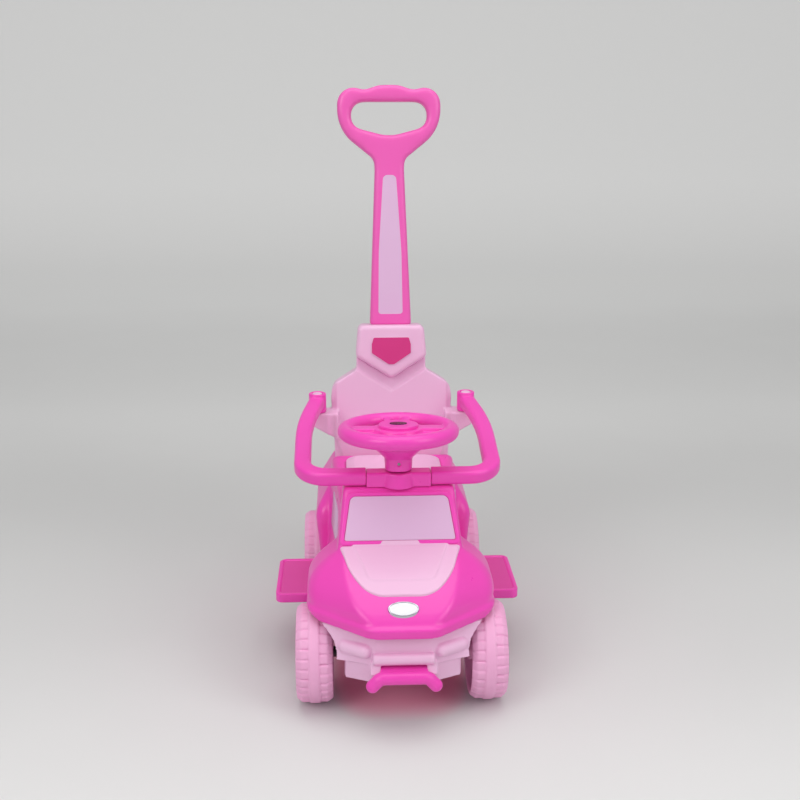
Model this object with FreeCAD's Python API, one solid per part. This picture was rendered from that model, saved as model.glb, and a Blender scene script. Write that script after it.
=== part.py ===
import FreeCAD, Part
import math
import os

V = FreeCAD.Vector

# A push car for a small child: front towards -Y, up is +Z, millimetres.
# The origin is on the ground, in the middle of the car's length and width.

# Whole car
car_length = 604.0
front_axle_setback = 124.0
rear_axle_setback = 90.0
wheel_radius = 75.0
wheel_width = 54.0
wheel_beside_kingpin = 16.0
overrun = 20.0
same_place = 0.00002

# Clearances: moving pieces, pieces that are seated, rods that turn in a bore
move_gap = 0.3
seat_gap = 0.2
turn_gap = 0.08

# Wheels
tread_drop = 2.0
rib_half = 7.0
shoulder_drop = 8.0
shoulder_run = 6.0
rim_wall = 5.0
web_half = 4.0
dish_slope = 4.0
hub_radius = 22.0
hub_setback = 8.0
inner_hub_radius = 16.0
lug_count = 30
lug_gap = 2.6
lug_depth = 1.4
spoke_count = 5
spoke_width = 10.0
spoke_height = 8.0
cap_radius = 20.0
cap_crown_radius = 13.0
cap_rim = 3.5
cap_height = 7.0
cap_wall = 1.5

# Axles and their nuts
axle_radius = 4.0
nut_radius = 8.5
nut_thickness = 3.0
axle_nose = 1.0
lug_plate = 10.0
lug_half = 14.0
lug_below = 12.0
spacer_radius = 7.0

# Steering knuckles and kingpins
kingpin_beside_well = 8.0
kingpin_radius = 5.0
knuckle_radius = 9.0
knuckle_below = 9.0
ear_radius = 11.0
ear_below = 12.0
ear_height = 32.0
clip_thickness = 3.0
clip_radius = 7.5
clip_nose = 2.0
stub_shoulder_radius = 8.0
arm_width = 14.0
arm_thickness = 6.0
arm_under_axle = 5.0
pin_radius = 3.0

# Column, crank and tie rod
column_radius = 6.0
column_lean = 4.0
column_ahead = 22.0
crank_radius = 22.0
crank_thickness = 6.0
crank_width = 14.0
crank_pin_drop = 12.0
end_round_share = 0.9
tie_rod_thickness = 6.0
tie_rod_width = 26.0
tie_rod_end = 8.0
pin_play = 0.9
pin_travel = 7.5
arm_pin_travel = 2.5
steer_limit = 11.2
linkage_room = 21.0

# Lower body
wall = 3.0
lower_half = 88.0
lower_rear_setback = 6.0
lower_corner = 25.0
sill_height = 16.0
well_half = 78.0
well_front_setback = 62.0
well_rear_setback = 202.0
front_wall_height = 51.0
arch_gap = 5.0
arch_side_gap = 4.0
bearing_radius = 13.0
bearing_height = 26.0
boss_radius = 6.0

# Body shell: nose and fenders
bull_bar_reach = 16.0
nose_half = 46.0
fender_half = 138.0
fender_corner_setback = 94.0
fender_rear_setback = 190.0
nose_rear_setback = 218.0
nose_corner = 20.0
fender_corner = 40.0
fender_rear_corner = 18.0
lip_height = 17.0
shoulder_height = 26.0
shoulder_half = 70.0
shoulder_setback = 46.0
shoulder_side_half = 137.0
shoulder_corner_setback = 112.0
cowl_height = 46.0
cowl_half = 84.0
cowl_setback = 138.0
cowl_side_half = 86.0
cowl_corner_setback = 144.0
cowl_corner = 3.0

# Body shell: dash with windscreen
cabin_sink = 8.0
dash_height = 78.0
cabin_front_setback = 134.0
cabin_rear_setback = 242.0
cabin_half = 94.0
cabin_corner = 12.0
dash_front_setback = 186.0
dash_rear_setback = 222.0
dash_half = 84.0
dash_crown = 6.0

# Body shell: waist with seat pocket and storage bin
waist_half = 92.0
waist_rear_half = 122.0
waist_top_half = 88.0
waist_top_rear_half = 106.0
waist_corner = 14.0
waist_crown = 9.0
seat_height = 165.0
pocket_depth = 6.0
lid_gap = 0.8
bin_half = 66.0
bin_margin = 10.0
bin_depth = 106.0
column_room = 10.0

# Body shell: rear fenders and deck
rear_half = 134.0
rear_foot_half = 126.0
rear_skirt_ahead = 127.0
rear_side_height = 83.0
rear_front_corner = 30.0
rear_corner = 45.0
deck_height = 140.0
deck_half = 100.0
deck_front_inset = 40.0
deck_rear_inset = 20.0
deck_corner = 25.0

# Seat lid
seat_setback = 262.0
seat_half = 80.0
seat_corner = 28.0
lid_thickness = 8.0
lid_crown = 4.0
lid_lip = 4.0
lid_lip_wall = 3.0
seat_rear_margin = 12.0

# Front bumper
bumper_set_in = 7.0
bumper_top_half = 44.0
bumper_top_side_half = 119.0
bumper_top_side_setback = 78.0
bumper_mid_height = 44.0
bumper_mid_set_in = 11.0
bumper_mid_side_half = 101.0
bumper_mid_side_setback = 46.0
bumper_apron_half = 90.0
bumper_apron_setback = 50.0
bumper_low_height = 30.0
bumper_low_set_in = 15.0
bumper_low_side_half = 88.0
bumper_low_side_setback = 52.0
bumper_wing = 9.0
bumper_wall = 4.0
bar_half = 43.0
bar_radius = 7.5
bar_sink = 2.0
bar_lift = 12.0
pod_inner = 56.0
pod_outer = 84.0
pod_depth = 24.0
pod_radius = 10.0
pod_sink = 6.0
pod_lift = 19.0

# Bull bar
bull_radius = 9.5
bull_half = 34.0
bull_tip_half = 45.0
bull_tip_drop = 12.0
bull_bend = 12.0
bull_bar_z = 91.0
bull_plate_half = 33.0
bull_plate_height = 11.0

# Bonnet panel, badges and windows
panel_thickness = 2.5
panel_low_half = 44.0
panel_low_setback = 54.0
panel_mid_half = 73.0
panel_mid_setback = 84.0
panel_top_half = 91.0
panel_top_setback = 142.0
panel_corner = 32.0
panel_bow = 60.0
badge_half = 22.0
badge_half_height = 8.2
badge_setback = 37.0
badge_thickness = 2.0
sticker = 1.0
screen_margin = 11.0
screen_foot = 12.0
screen_top = 14.0
screen_corner = 9.0
screen_low_corner = 3.0
flank_front_share = 0.147
flank_rear_share = 0.612
flank_rake = 14.0
flank_low = 78.0
flank_high = 140.0
window_corner = 6.0

# Dash bracket and guard arms
bracket_half = 49.0
bracket_depth = 29.0
bracket_height = 22.0
bracket_edge = 4.0
boss_outer_radius = 27.0
boss_top_radius = 22.5
guard_outer_half = 159.0
guard_bow_half = 161.0
guard_bow_run = 92.0
guard_bow_round = 500.0
guard_width = 26.0
guard_height = 22.0
guard_corner = 52.0
guard_edge = 6.0
peg_half = 128.0
peg_ahead = 2.0
peg_radius = 9.0
peg_height = 34.0
sleeve_radius = 15.0

# Steering wheel
sleeve_low_radius = 20.5
sleeve_high_radius = 22.0
sleeve_height = 28.0
hub_cone_radius = 38.0
hub_cone_height = 16.0
hub_floor = 16.0
rim_rise = 61.5
rim_radius = 80.0
rim_tube = 11.5
wheel_spoke_width = 26.0
wheel_spoke_height = 12.0
rear_spoke_width = 12.0
rear_spoke_half = 14.0
web_rim_bite = 6.0
web_front = 4.0
cover_radius = 30.0
cover_height = 5.0
cover_edge = 2.0
plate_half = 13.0
plate_half_depth = 8.0
plate_height = 1.2
cross_screw_radius = 1.6
cross_screw_head = 2.8
cross_screw_rise = 14.0
cross_screw_sunk = 5.0
cross_screw_reach = 12.0

# Backrest and headrest, in a frame that leans back from the foot of the backrest
back_setback = 143.0
back_lean = 8.0
back_gap = 1.0
back_depth = 50.0
back_wall = 4.0
foot_half = 98.0
foot_below = 20.0
loin_half = 100.0
loin_height = 45.0
chest_half = 105.0
chest_rise = 80.0
collar_half = 102.0
collar_rise = 22.0
neck_half = 60.0
neck_foot_rise = 26.0
neck_rise = 47.0
loin_round = 60.0
chest_round = 40.0
collar_round = 24.0
neck_round = 8.0
cover_thickness = 3.0
head_tip_drop = 37.0
head_side_half = 61.5
head_side_rise = 39.0
head_top_half = 56.5
head_top_rise = 54.0
head_proud = 12.0
head_rear_proud = 2.0
head_round = 10.0
head_edge = 8.0
wing_half = 140.0
wing_root_half = 92.0
wing_rise = 102.0
wing_end_height = 20.0
wing_root_height = 48.0
wing_ahead = 15.0
wing_behind = 30.0
shield_half = 33.5
shield_height = 46.0
shield_above_tip = 26.0
shield_round = 2.5
shield_thickness = 2.0

# Push handle, in the same leaning frame
pole_depth = 28.0
pole_centre = 24.0
pole_foot_half = 36.0
pole_neck_half = 25.3
pole_length = 263.0
ring_root_half = 26.0
ring_root_rise = 19.0
ring_half = 88.5
ring_flank_rise = 49.0
ring_top_rise = 75.5
ear_rise = 8.0
dip_half = 43.0
dip_drop = 9.0
crest_half = 16.0
ring_root_round = 20.0
ring_flank_round = 70.0
ring_ear_round = 28.0
ring_crest_round = 18.0
ring_band = 24.0
grip_low_half = 10.0
grip_low_drop = 14.0
grip_flank_lift = 6.0
grip_top_band = 28.5
grip_low_round = 25.0
grip_corner = 21.0
handle_edge = 8.0
plug_half = 30.0
plug_half_depth = 10.5
plug_length = 140.0
socket_wall = 4.0
decal_low_half = 21.0
decal_mid_half = 19.5
decal_mid_share = 0.45
decal_top_half = 11.0
decal_low_margin = 18.0
decal_top_margin = 8.0
decal_corner = 5.0
decal_top_round = 8.0
decal_bow = 120.0
decal_sunk = 1.0

# Footrests
footrest_half = 194.0
footrest_behind_wheel = 33.0
footrest_ahead_wheel = 65.0
footrest_rise = 8.0
footrest_thickness = 15.0
footrest_corner = 12.0
footrest_rim = 6.0
footrest_sunk = 2.0

# Screws
screw_radius = 2.0
screw_gap = 0.15
screw_head_radius = 4.5
screw_head = 2.5
body_screw_half = 76.0
body_screw_bite = 9.0
body_screw_inset = 13.0
bumper_screw_half = 52.0
bumper_screw_bite = 22.0
footrest_screw_inset = 30.0
footrest_screw_bite = 10.0
back_screw_half = 72.0
back_screw_behind = 24.0
back_screw_bite = 14.0
dash_screw_half = 36.0
dash_screw_bite = 12.0

# Places worked out from the sizes above
front_tip = -car_length / 2
rear_tip = car_length / 2
front_axle_y = front_tip + front_axle_setback
rear_axle_y = rear_tip - rear_axle_setback
axle_z = wheel_radius
kingpin_half = well_half + kingpin_beside_well
wheel_inner_half = kingpin_half + wheel_beside_kingpin
wheel_outer_half = wheel_inner_half + wheel_width
wheel_middle_half = wheel_inner_half + wheel_width / 2
hub_face = wheel_width / 2 - hub_setback

floor_z = axle_z + linkage_room
sill_z = floor_z + sill_height
lip_z = floor_z + front_wall_height
ridge_z = lip_z + lip_height
shoulder_z = ridge_z + shoulder_height
cowl_z = shoulder_z + cowl_height
dash_z = cowl_z + dash_height
seat_z = sill_z + seat_height
deck_z = sill_z + deck_height
bracket_z = dash_z + bracket_height

nose_y = front_tip + bull_bar_reach
column_y = front_tip + dash_rear_setback - column_ahead
seat_front_y = front_tip + seat_setback
back_y = rear_tip - back_setback
waist_front_y = front_tip + well_rear_setback
waist_rear_y = back_y - back_gap
seat_rear_y = waist_rear_y - seat_rear_margin
peg_y = back_y + peg_ahead
wing_z = deck_z + wing_rise
pocket_z = seat_z - pocket_depth
bin_floor_z = pocket_z - bin_depth
well_front_y = front_tip + well_front_setback

column_axis = V(0, math.sin(math.radians(column_lean)), math.cos(math.radians(column_lean)))
column_top = V(0, column_y, bracket_z)
arm_low_z = axle_z - arm_under_axle
arm_top_z = arm_low_z + arm_thickness
tie_rod_low_z = arm_top_z + move_gap
tie_rod_top_z = tie_rod_low_z + tie_rod_thickness
tie_rod_mid_z = (tie_rod_low_z + tie_rod_top_z) / 2
tie_rod_y = (column_y - (bracket_z - tie_rod_mid_z) * math.tan(math.radians(column_lean))
             + crank_radius * math.cos(math.radians(column_lean)))
footrest_front_y = front_axle_y + wheel_radius + footrest_behind_wheel
footrest_rear_y = rear_axle_y - wheel_radius - footrest_ahead_wheel
chest_height = loin_height + chest_rise
collar_height = chest_height + collar_rise
neck_foot_height = collar_height + neck_foot_rise
neck_height = collar_height + neck_rise
head_tip_height = neck_height - head_tip_drop
head_side_height = head_tip_height + head_side_rise
head_top_height = head_side_height + head_top_rise
pole_neck_height = head_top_height + pole_length
ring_root_height = pole_neck_height + ring_root_rise
ring_flank_height = ring_root_height + ring_flank_rise
ring_top_height = ring_flank_height + ring_top_rise
grip_half = ring_half - ring_band
grip_flank_height = ring_flank_height + grip_flank_lift
grip_low_height = grip_flank_height - grip_low_drop
grip_top_height = ring_top_height - grip_top_band
ear_low_z = floor_z - ear_below
ear_top_z = ear_low_z + ear_height


# Shapes that repeat

def rounded(points, radii):
    """Closed wire through the points, with each corner eased by its radius."""
    edges = []
    ends = []
    count = len(points)
    for i, point in enumerate(points):
        before = (points[i - 1] - point).normalize()
        after = (points[(i + 1) % count] - point).normalize()
        if radii[i] == 0:
            ends.append((point, None, point))
            continue
        half_angle = before.getAngle(after) / 2
        run = radii[i] / math.tan(half_angle)
        middle = (before + after).normalize()
        centre = point + middle * (radii[i] / math.sin(half_angle))
        ends.append((point + before * run, centre - middle * radii[i], point + after * run))
    for i, (start, middle, finish) in enumerate(ends):
        last = ends[i - 1][2]
        if last.distanceToPoint(start) > same_place:
            edges.append(Part.makeLine(last, start))
        if middle is not None:
            edges.append(Part.Arc(start, middle, finish).toShape())
    return Part.Wire(edges)


def slab(points, radii, direction):
    """Rounded outline pushed along a direction."""
    return Part.Face(rounded(points, radii)).extrude(direction)


def both_sides(half, height):
    """Outline in plan from its right half, at one height."""
    right = [V(x, y, height) for x, y in half]
    left = [V(-x, y, height) for x, y in reversed(half)]
    return right + left


def upright(half, depth):
    """Outline seen from the front, from its right half, at one depth."""
    right = [V(x, depth, z) for x, z in half]
    left = [V(-x, depth, z) for x, z in reversed(half)]
    return right + left


def paired(radii):
    return list(radii) + list(reversed(radii))


def rod(radius, start, finish):
    """Round bar between two points."""
    return Part.makeCylinder(radius, start.distanceToPoint(finish), start, finish - start)


def block(low, high):
    """Box between two corners."""
    size = high - low
    return Part.makeBox(size.x, size.y, size.z, low)


def mirror(shape):
    return shape.mirror(V(0, 0, 0), V(1, 0, 0))


def fuse(shapes):
    return shapes[0].multiFuse(shapes[1:]).removeSplitter()


def pair_of(shape):
    return [shape, mirror(shape)]


def loft(wires, ruled):
    return Part.makeLoft(wires, True, ruled)


def lean(shape):
    """From the upright frame of the backrest to the car's frame."""
    turned = shape.rotated(V(0, 0, 0), V(1, 0, 0), -back_lean)
    return turned.translated(V(0, back_y, deck_z))


def along_column(shape):
    """From a frame with the column along Z to the car's frame."""
    turned = shape.rotated(V(0, 0, 0), V(1, 0, 0), -column_lean)
    return turned.translated(column_top)


def screw(seat, direction, bite):
    """Pan head outside its seat, with the shank going along the direction."""
    head = rod(screw_head_radius, seat - direction * screw_head, seat)
    return head.fuse(rod(screw_radius, seat - direction * screw_head, seat + direction * bite))


def screw_hole(seat, direction, bite):
    return rod(screw_radius + screw_gap, seat - direction * overrun, seat + direction * (bite + seat_gap))


def rounded_edges(shape, radius, wanted):
    return shape.makeFillet(radius, [edge for edge in shape.Edges if wanted(edge.BoundBox)])


# Room for the wheels

def wheel_room(axle_y, angles, extra):
    """Space that a left wheel sweeps, with its gap all round."""
    radius = wheel_radius + arch_gap + extra
    inner = wheel_inner_half - arch_side_gap - extra
    space = rod(radius, V(inner, axle_y, axle_z), V(wheel_outer_half + overrun, axle_y, axle_z))
    pivot = V(kingpin_half, axle_y, axle_z)
    turned = [space.rotated(pivot, V(0, 0, 1), angle) for angle in angles]
    return turned + [mirror(shape) for shape in turned]


def front_room(extra):
    return wheel_room(front_axle_y, (-steer_limit, 0, steer_limit), extra)


def rear_room(extra):
    return wheel_room(rear_axle_y, (0,), extra)


# Body shell

def fender_outline(front_half, front_y, side_half, side_y, corners, height, inset):
    half = [(front_half - inset / 2, front_y + inset),
            (side_half - inset, side_y + inset / 2),
            (side_half - inset, front_tip + fender_rear_setback - inset),
            (waist_top_half - inset, front_tip + nose_rear_setback)]
    return rounded(both_sides(half, height), paired(corners))


def nose(inset):
    """Lip, bonnet and front fenders."""
    low_corners = (nose_corner, fender_corner, fender_rear_corner, 0)
    top_corners = (cowl_corner, cowl_corner, cowl_corner, 0)

    def lip_outline(height):
        return fender_outline(nose_half, nose_y, fender_half, front_tip + fender_corner_setback,
                              low_corners, height, inset)

    low_z = lip_z + inset
    band = Part.Face(lip_outline(low_z)).extrude(V(0, 0, ridge_z - low_z))
    shoulder = fender_outline(shoulder_half, front_tip + shoulder_setback, shoulder_side_half,
                              front_tip + shoulder_corner_setback, low_corners, shoulder_z - inset / 2, inset)
    cowl = fender_outline(cowl_half, front_tip + cowl_setback, cowl_side_half,
                          front_tip + cowl_corner_setback, top_corners, cowl_z - inset, inset)
    return [band, loft([lip_outline(ridge_z), shoulder, cowl], False)]


def box_outline(half, front_y, rear_y, corners, height):
    return rounded(both_sides([(half, front_y), (half, rear_y)], height), paired(corners))


def cabin(inset):
    """Dash with the windscreen on its front slope."""
    corners = (cabin_corner, cabin_corner)
    foot = box_outline(cabin_half - inset, front_tip + cabin_front_setback + inset,
                       front_tip + cabin_rear_setback - inset, corners, cowl_z - cabin_sink)
    top = box_outline(dash_half - inset, front_tip + dash_front_setback + inset,
                      front_tip + dash_rear_setback - inset, corners, dash_z - inset)
    return loft([foot, top], True)


def waist(inset):
    """Narrow middle that the child sits astride."""
    def outline(front_half, rear_half, height):
        half = [(front_half - inset, waist_front_y + inset), (rear_half - inset, waist_rear_y - inset)]
        return rounded(both_sides(half, height), paired((waist_corner, waist_corner)))

    foot = outline(waist_half, waist_rear_half, sill_z + inset)
    top = outline(waist_top_half, waist_top_rear_half, seat_z - inset)
    return loft([foot, top], True)


def rear(inset):
    """Rear fenders, rising to the deck that carries the backrest."""
    corners = (rear_front_corner, rear_corner)
    front_y = rear_axle_y - rear_skirt_ahead
    side_z = sill_z + rear_side_height

    def side_outline(half, height):
        return box_outline(half - inset, front_y + inset, rear_tip - inset, corners, height)

    band = loft([side_outline(rear_foot_half, sill_z + inset), side_outline(rear_half, side_z)], True)
    deck = box_outline(deck_half - inset, front_y + deck_front_inset + inset,
                       rear_tip - deck_rear_inset - inset, (deck_corner, deck_corner), deck_z - inset)
    return [band, loft([side_outline(rear_half, side_z), deck], True)]


def column_bore(radius):
    """Straight hole along the steering column."""
    foot = column_top - column_axis * (bracket_z + overrun)
    return rod(radius, foot, column_top + column_axis * overrun)


def body_screw_seats():
    front_y = waist_front_y + body_screw_inset
    rear_y = rear_tip - lower_rear_setback - body_screw_inset
    places = (front_y, (front_y + rear_y) / 2, rear_y)
    right = [V(body_screw_half, y, floor_z) for y in places]
    return right + [V(-seat.x, seat.y, seat.z) for seat in right]


def dash_screw_seats():
    return [V(side * dash_screw_half, column_y, dash_z - wall) for side in (-1, 1)]


def back_screw_seats():
    return [V(side * back_screw_half, back_y + back_screw_behind, deck_z - wall) for side in (-1, 1)]


def lid_outline(gap, height):
    return box_outline(seat_half + gap, seat_front_y - gap, seat_rear_y + gap,
                       (seat_corner, seat_corner), height)


def bin_block(inset, low, high):
    """Upright block in the storage bin's outline, drawn in by an inset."""
    return block(V(-bin_half + inset, seat_front_y + bin_margin + inset, low),
                 V(bin_half - inset, seat_rear_y - bin_margin - inset, high))


def body_shell():
    up = V(0, 0, 1)
    dash = rounded_edges(cabin(0), dash_crown, lambda box: box.ZMin > dash_z - dash_crown)
    saddle = rounded_edges(waist(0), waist_crown, lambda box: box.ZMin > seat_z - waist_crown)
    outer = fuse(nose(0) + [dash, saddle] + rear(0))
    inner = fuse(nose(wall) + [cabin(wall), waist(wall)] + rear(wall))
    inner = inner.cut(front_room(wall) + rear_room(wall))
    floor_hole = block(V(-bin_half, waist_front_y, sill_z - overrun),
                       V(bin_half, rear_tip - lower_rear_setback - overrun, sill_z + overrun))
    well_hole = block(V(-well_half + wall, well_front_y + wall, lip_z - overrun),
                      V(well_half - wall, waist_front_y + overrun, lip_z + overrun))
    bin_space = bin_block(0, bin_floor_z, seat_z + overrun)
    bin_case = bin_block(-wall, bin_floor_z - wall, pocket_z)
    pocket_rim = block(V(-seat_half - wall, seat_front_y - wall, pocket_z - wall),
                       V(seat_half + wall, seat_rear_y + wall, seat_z - wall))
    bosses = [rod(boss_radius, seat + up * sill_height, seat + up * (sill_height + wall + body_screw_bite))
              for seat in body_screw_seats()]
    shell = fuse([outer.cut(inner).cut([floor_hole, well_hole]), bin_case, pocket_rim] + bosses)
    pocket = Part.Face(lid_outline(lid_gap, pocket_z)).extrude(up * overrun)
    holes = [screw_hole(seat, up, sill_height + wall + body_screw_bite) for seat in body_screw_seats()]
    holes += [screw_hole(seat, up, wall + overrun) for seat in dash_screw_seats() + back_screw_seats()]
    spaces = [pocket, bin_space, column_bore(column_radius + column_room)]
    return shell.cut(front_room(0) + rear_room(0) + spaces + holes)


def seat_lid():
    """Pale lid over the storage bin, crowned, with a lip that keeps it in the bin's mouth."""
    up = V(0, 0, 1)
    low = pocket_z + move_gap
    plate = Part.Face(lid_outline(0, low)).extrude(up * lid_thickness)
    crown = loft([lid_outline(0, low + lid_thickness),
                  box_outline(seat_half - seat_corner / 2, seat_front_y + seat_corner / 2,
                              seat_rear_y - seat_corner / 2, (seat_corner / 2, seat_corner / 2),
                              low + lid_thickness + lid_crown)], True)
    lip = bin_block(lid_gap, low - lid_lip, low)
    lip = lip.cut(bin_block(lid_gap + lid_lip_wall, low - lid_lip, low))
    return fuse([plate, crown, lip])


# Lower body, bumper and bull bar

def bumper_screw_seats():
    height = lip_z - bumper_mid_height / 2
    return [V(side * bumper_screw_half, well_front_y + wall, height) for side in (-1, 1)]


def footrest_screw_seats():
    """Seats of the left footrest's screws, inside the lower body's wall."""
    places = (footrest_front_y + footrest_screw_inset, footrest_rear_y - footrest_screw_inset)
    return [V(lower_half - wall, y, sill_z - screw_head_radius - move_gap) for y in places]


def footrest_low_z():
    return sill_z + footrest_rise - footrest_thickness


def lower_body():
    """Open tub that carries the axles and closes the shell from below."""
    up = V(0, 0, 1)
    rear_y = rear_tip - lower_rear_setback

    def tub(inset):
        floor = floor_z + inset
        extra = overrun if inset else 0
        middle = Part.Face(box_outline(lower_half - inset, waist_front_y - inset, rear_y - inset,
                                       (0, lower_corner), floor)).extrude(up * (sill_z - floor + extra))
        front = block(V(-well_half + inset, well_front_y + inset, floor),
                      V(well_half - inset, waist_front_y - inset, lip_z + extra))
        return [middle, front]

    shell = fuse(tub(0)).cut(tub(wall)[0]).cut(tub(wall)[1])
    front_wall = block(V(-well_half, waist_front_y - wall, sill_z), V(well_half, waist_front_y, lip_z))
    ears = pair_of(rod(ear_radius, V(kingpin_half, front_axle_y, ear_low_z),
                       V(kingpin_half, front_axle_y, ear_top_z)))
    bearing_foot = column_top - column_axis * ((bracket_z - floor_z) / column_axis.z)
    bearing = rod(bearing_radius, bearing_foot, bearing_foot + column_axis * bearing_height)
    lugs = pair_of(block(V(lower_half - lug_plate, rear_axle_y - lug_half, axle_z - lug_below),
                         V(lower_half, rear_axle_y + lug_half, floor_z + wall)))
    bosses = [rod(boss_radius, seat, seat + up * sill_height) for seat in body_screw_seats()]
    body = fuse([shell, front_wall, bearing] + ears + lugs + bosses)
    bores = pair_of(rod(kingpin_radius + turn_gap, V(kingpin_half, front_axle_y, 0),
                        V(kingpin_half, front_axle_y, cowl_z)))
    bores += pair_of(rod(axle_radius + turn_gap, V(0, rear_axle_y, axle_z),
                         V(fender_half, rear_axle_y, axle_z)))
    bores.append(column_bore(column_radius + turn_gap))
    holes = [screw_hole(seat, up, overrun) for seat in body_screw_seats()]
    holes += [screw_hole(seat, V(0, -1, 0), wall + overrun) for seat in bumper_screw_seats()]
    for seat in footrest_screw_seats():
        holes += pair_of(screw_hole(seat, V(1, 0, 0), overrun))
    return body.cut(bores + holes)


def bumper_body(inset):
    """Bowed bumper, narrower towards its foot."""
    def outline(front_half, front_y, side_half, side_setback, height):
        side_y = front_tip + side_setback
        half = [(front_half, front_y + inset),
                (side_half - inset, side_y),
                (side_half - inset - bumper_wing, side_y + bumper_wing),
                (well_half + move_gap - inset, well_front_y - seat_gap + 2 * inset)]
        return rounded(both_sides(half, height), paired((nose_corner, bumper_wing / 2, 0, 0)))

    top_z = lip_z - seat_gap
    mid_z = top_z - bumper_mid_height
    low_z = mid_z - bumper_low_height
    top = outline(bumper_top_half, nose_y + bumper_set_in,
                  bumper_top_side_half, bumper_top_side_setback, top_z)
    mid = outline(bumper_top_half, nose_y + bumper_mid_set_in,
                  bumper_mid_side_half, bumper_mid_side_setback, mid_z)
    low = outline(bumper_top_half, nose_y + bumper_low_set_in,
                  bumper_low_side_half, bumper_low_side_setback, low_z)
    apron = outline(bumper_top_half, nose_y + bumper_mid_set_in,
                    bumper_apron_half, bumper_apron_setback, mid_z)
    return fuse([loft([top, mid], True), loft([apron, low], True)])


def bumper_mid_z():
    return lip_z - seat_gap - bumper_mid_height


def front_bumper():
    hollow = bumper_body(bumper_wall)
    lift = hollow.translated(V(0, 0, bumper_wall))
    shell = bumper_body(0).cut(lift)
    bar_y = nose_y + bumper_mid_set_in + bar_sink
    bar_z = bumper_mid_z() + bar_lift
    bar = rod(bar_radius, V(-bar_half, bar_y, bar_z), V(bar_half, bar_y, bar_z))
    pod_z = bumper_mid_z() + pod_lift
    inner_end = V(pod_inner, nose_y + bumper_mid_set_in + pod_sink, pod_z)
    outer_end = V(pod_outer, nose_y + bumper_mid_set_in + pod_depth, pod_z)
    pod = fuse([rod(pod_radius, inner_end, outer_end), Part.makeSphere(pod_radius, inner_end),
                Part.makeSphere(pod_radius, outer_end)])
    bosses = [rod(boss_radius, V(seat.x, well_front_y - seat_gap, seat.z),
                  V(seat.x, well_front_y - bumper_screw_bite, seat.z)) for seat in bumper_screw_seats()]
    body = fuse([shell, bar] + pair_of(pod) + bosses)
    holes = [screw_hole(seat, V(0, -1, 0), bumper_screw_bite) for seat in bumper_screw_seats()]
    return body.cut(front_room(0) + holes)


def bull_bar():
    """Bent tube in front of the bumper, on a flat plate."""
    bar_y = front_tip + bull_radius
    tip_z = bull_bar_z - bull_tip_drop
    path = rounded_path([V(-bull_tip_half, bar_y, tip_z), V(-bull_half, bar_y, bull_bar_z),
                         V(bull_half, bar_y, bull_bar_z), V(bull_tip_half, bar_y, tip_z)], bull_bend)
    start = path.Edges[0].valueAt(path.Edges[0].FirstParameter)
    tangent = path.Edges[0].tangentAt(path.Edges[0].FirstParameter)
    ring = Part.Wire(Part.makeCircle(bull_radius, start, tangent))
    tube = path.makePipeShell([ring], True, False)
    tips = pair_of(Part.makeSphere(bull_radius, V(bull_tip_half, bar_y, tip_z)))
    plate = block(V(-bull_plate_half, bar_y, bull_bar_z - bull_plate_height / 2),
                  V(bull_plate_half, well_front_y, bull_bar_z + bull_plate_height / 2))
    pieces = plate.cut(bumper_body(-seat_gap)).Solids
    plate = min(pieces, key=lambda piece: piece.BoundBox.YMin)
    return fuse([tube, plate] + tips)


def rounded_path(points, radius):
    """Open wire of straight runs joined by arcs."""
    edges = []
    last = points[0]
    for before, point, after in zip(points, points[1:], points[2:]):
        back = (before - point).normalize()
        ahead = (after - point).normalize()
        half_angle = back.getAngle(ahead) / 2
        run = radius / math.tan(half_angle)
        middle = (back + ahead).normalize()
        centre = point + middle * (radius / math.sin(half_angle))
        edges.append(Part.makeLine(last, point + back * run))
        edges.append(Part.Arc(point + back * run, centre - middle * radius, point + ahead * run).toShape())
        last = point + ahead * run
    edges.append(Part.makeLine(last, points[-1]))
    return Part.Wire(edges)


# Panels and badges on the shell

def raised_bonnet(rise):
    """Bonnet lifted off itself along its slope."""
    return loft_bonnet().translated(V(0, -rise / 2, rise))


def loft_bonnet():
    return nose(0)[1]


def hood_panel():
    half = [(panel_low_half, front_tip + panel_low_setback),
            (panel_mid_half, front_tip + panel_mid_setback),
            (panel_top_half, front_tip + panel_top_setback)]
    outline = slab(both_sides(half, lip_z), paired((panel_corner, panel_bow, 0)), V(0, 0, cowl_z))
    plate = raised_bonnet(panel_thickness).common(outline).cut(raised_bonnet(seat_gap))
    return plate.cut(cabin(-seat_gap))


def oval_badge():
    """Bare oval plate on the bonnet, ahead of its panel."""
    centre = V(0, front_tip + badge_setback, lip_z)
    oval = Part.Ellipse(centre, badge_half, badge_half_height)
    space = Part.Face(Part.Wire(oval.toShape())).extrude(V(0, 0, cowl_z))
    return raised_bonnet(badge_thickness).common(space).cut(raised_bonnet(seat_gap))


def screen_normal():
    run = dash_front_setback - cabin_front_setback
    rise = dash_height + cabin_sink
    return V(0, -rise, run).normalize()


def windscreen_panel():
    """Sticker panel on the dash's front slope."""
    foot = V(0, front_tip + cabin_front_setback, cowl_z - cabin_sink)
    slope = V(0, dash_front_setback - cabin_front_setback, dash_height + cabin_sink)
    length = slope.Length
    slope.normalize()
    low = foot + slope * (cabin_sink + screen_foot) + screen_normal() * seat_gap
    high = foot + slope * (length - screen_top) + screen_normal() * seat_gap
    low_half = V(cabin_half - screen_margin, 0, 0)
    high_half = V(dash_half - screen_margin, 0, 0)
    corners = [low + low_half, high + high_half, high - high_half, low - low_half]
    radii = (screen_low_corner, screen_corner, screen_corner, screen_low_corner)
    return slab(corners, radii, screen_normal() * sticker)


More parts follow.
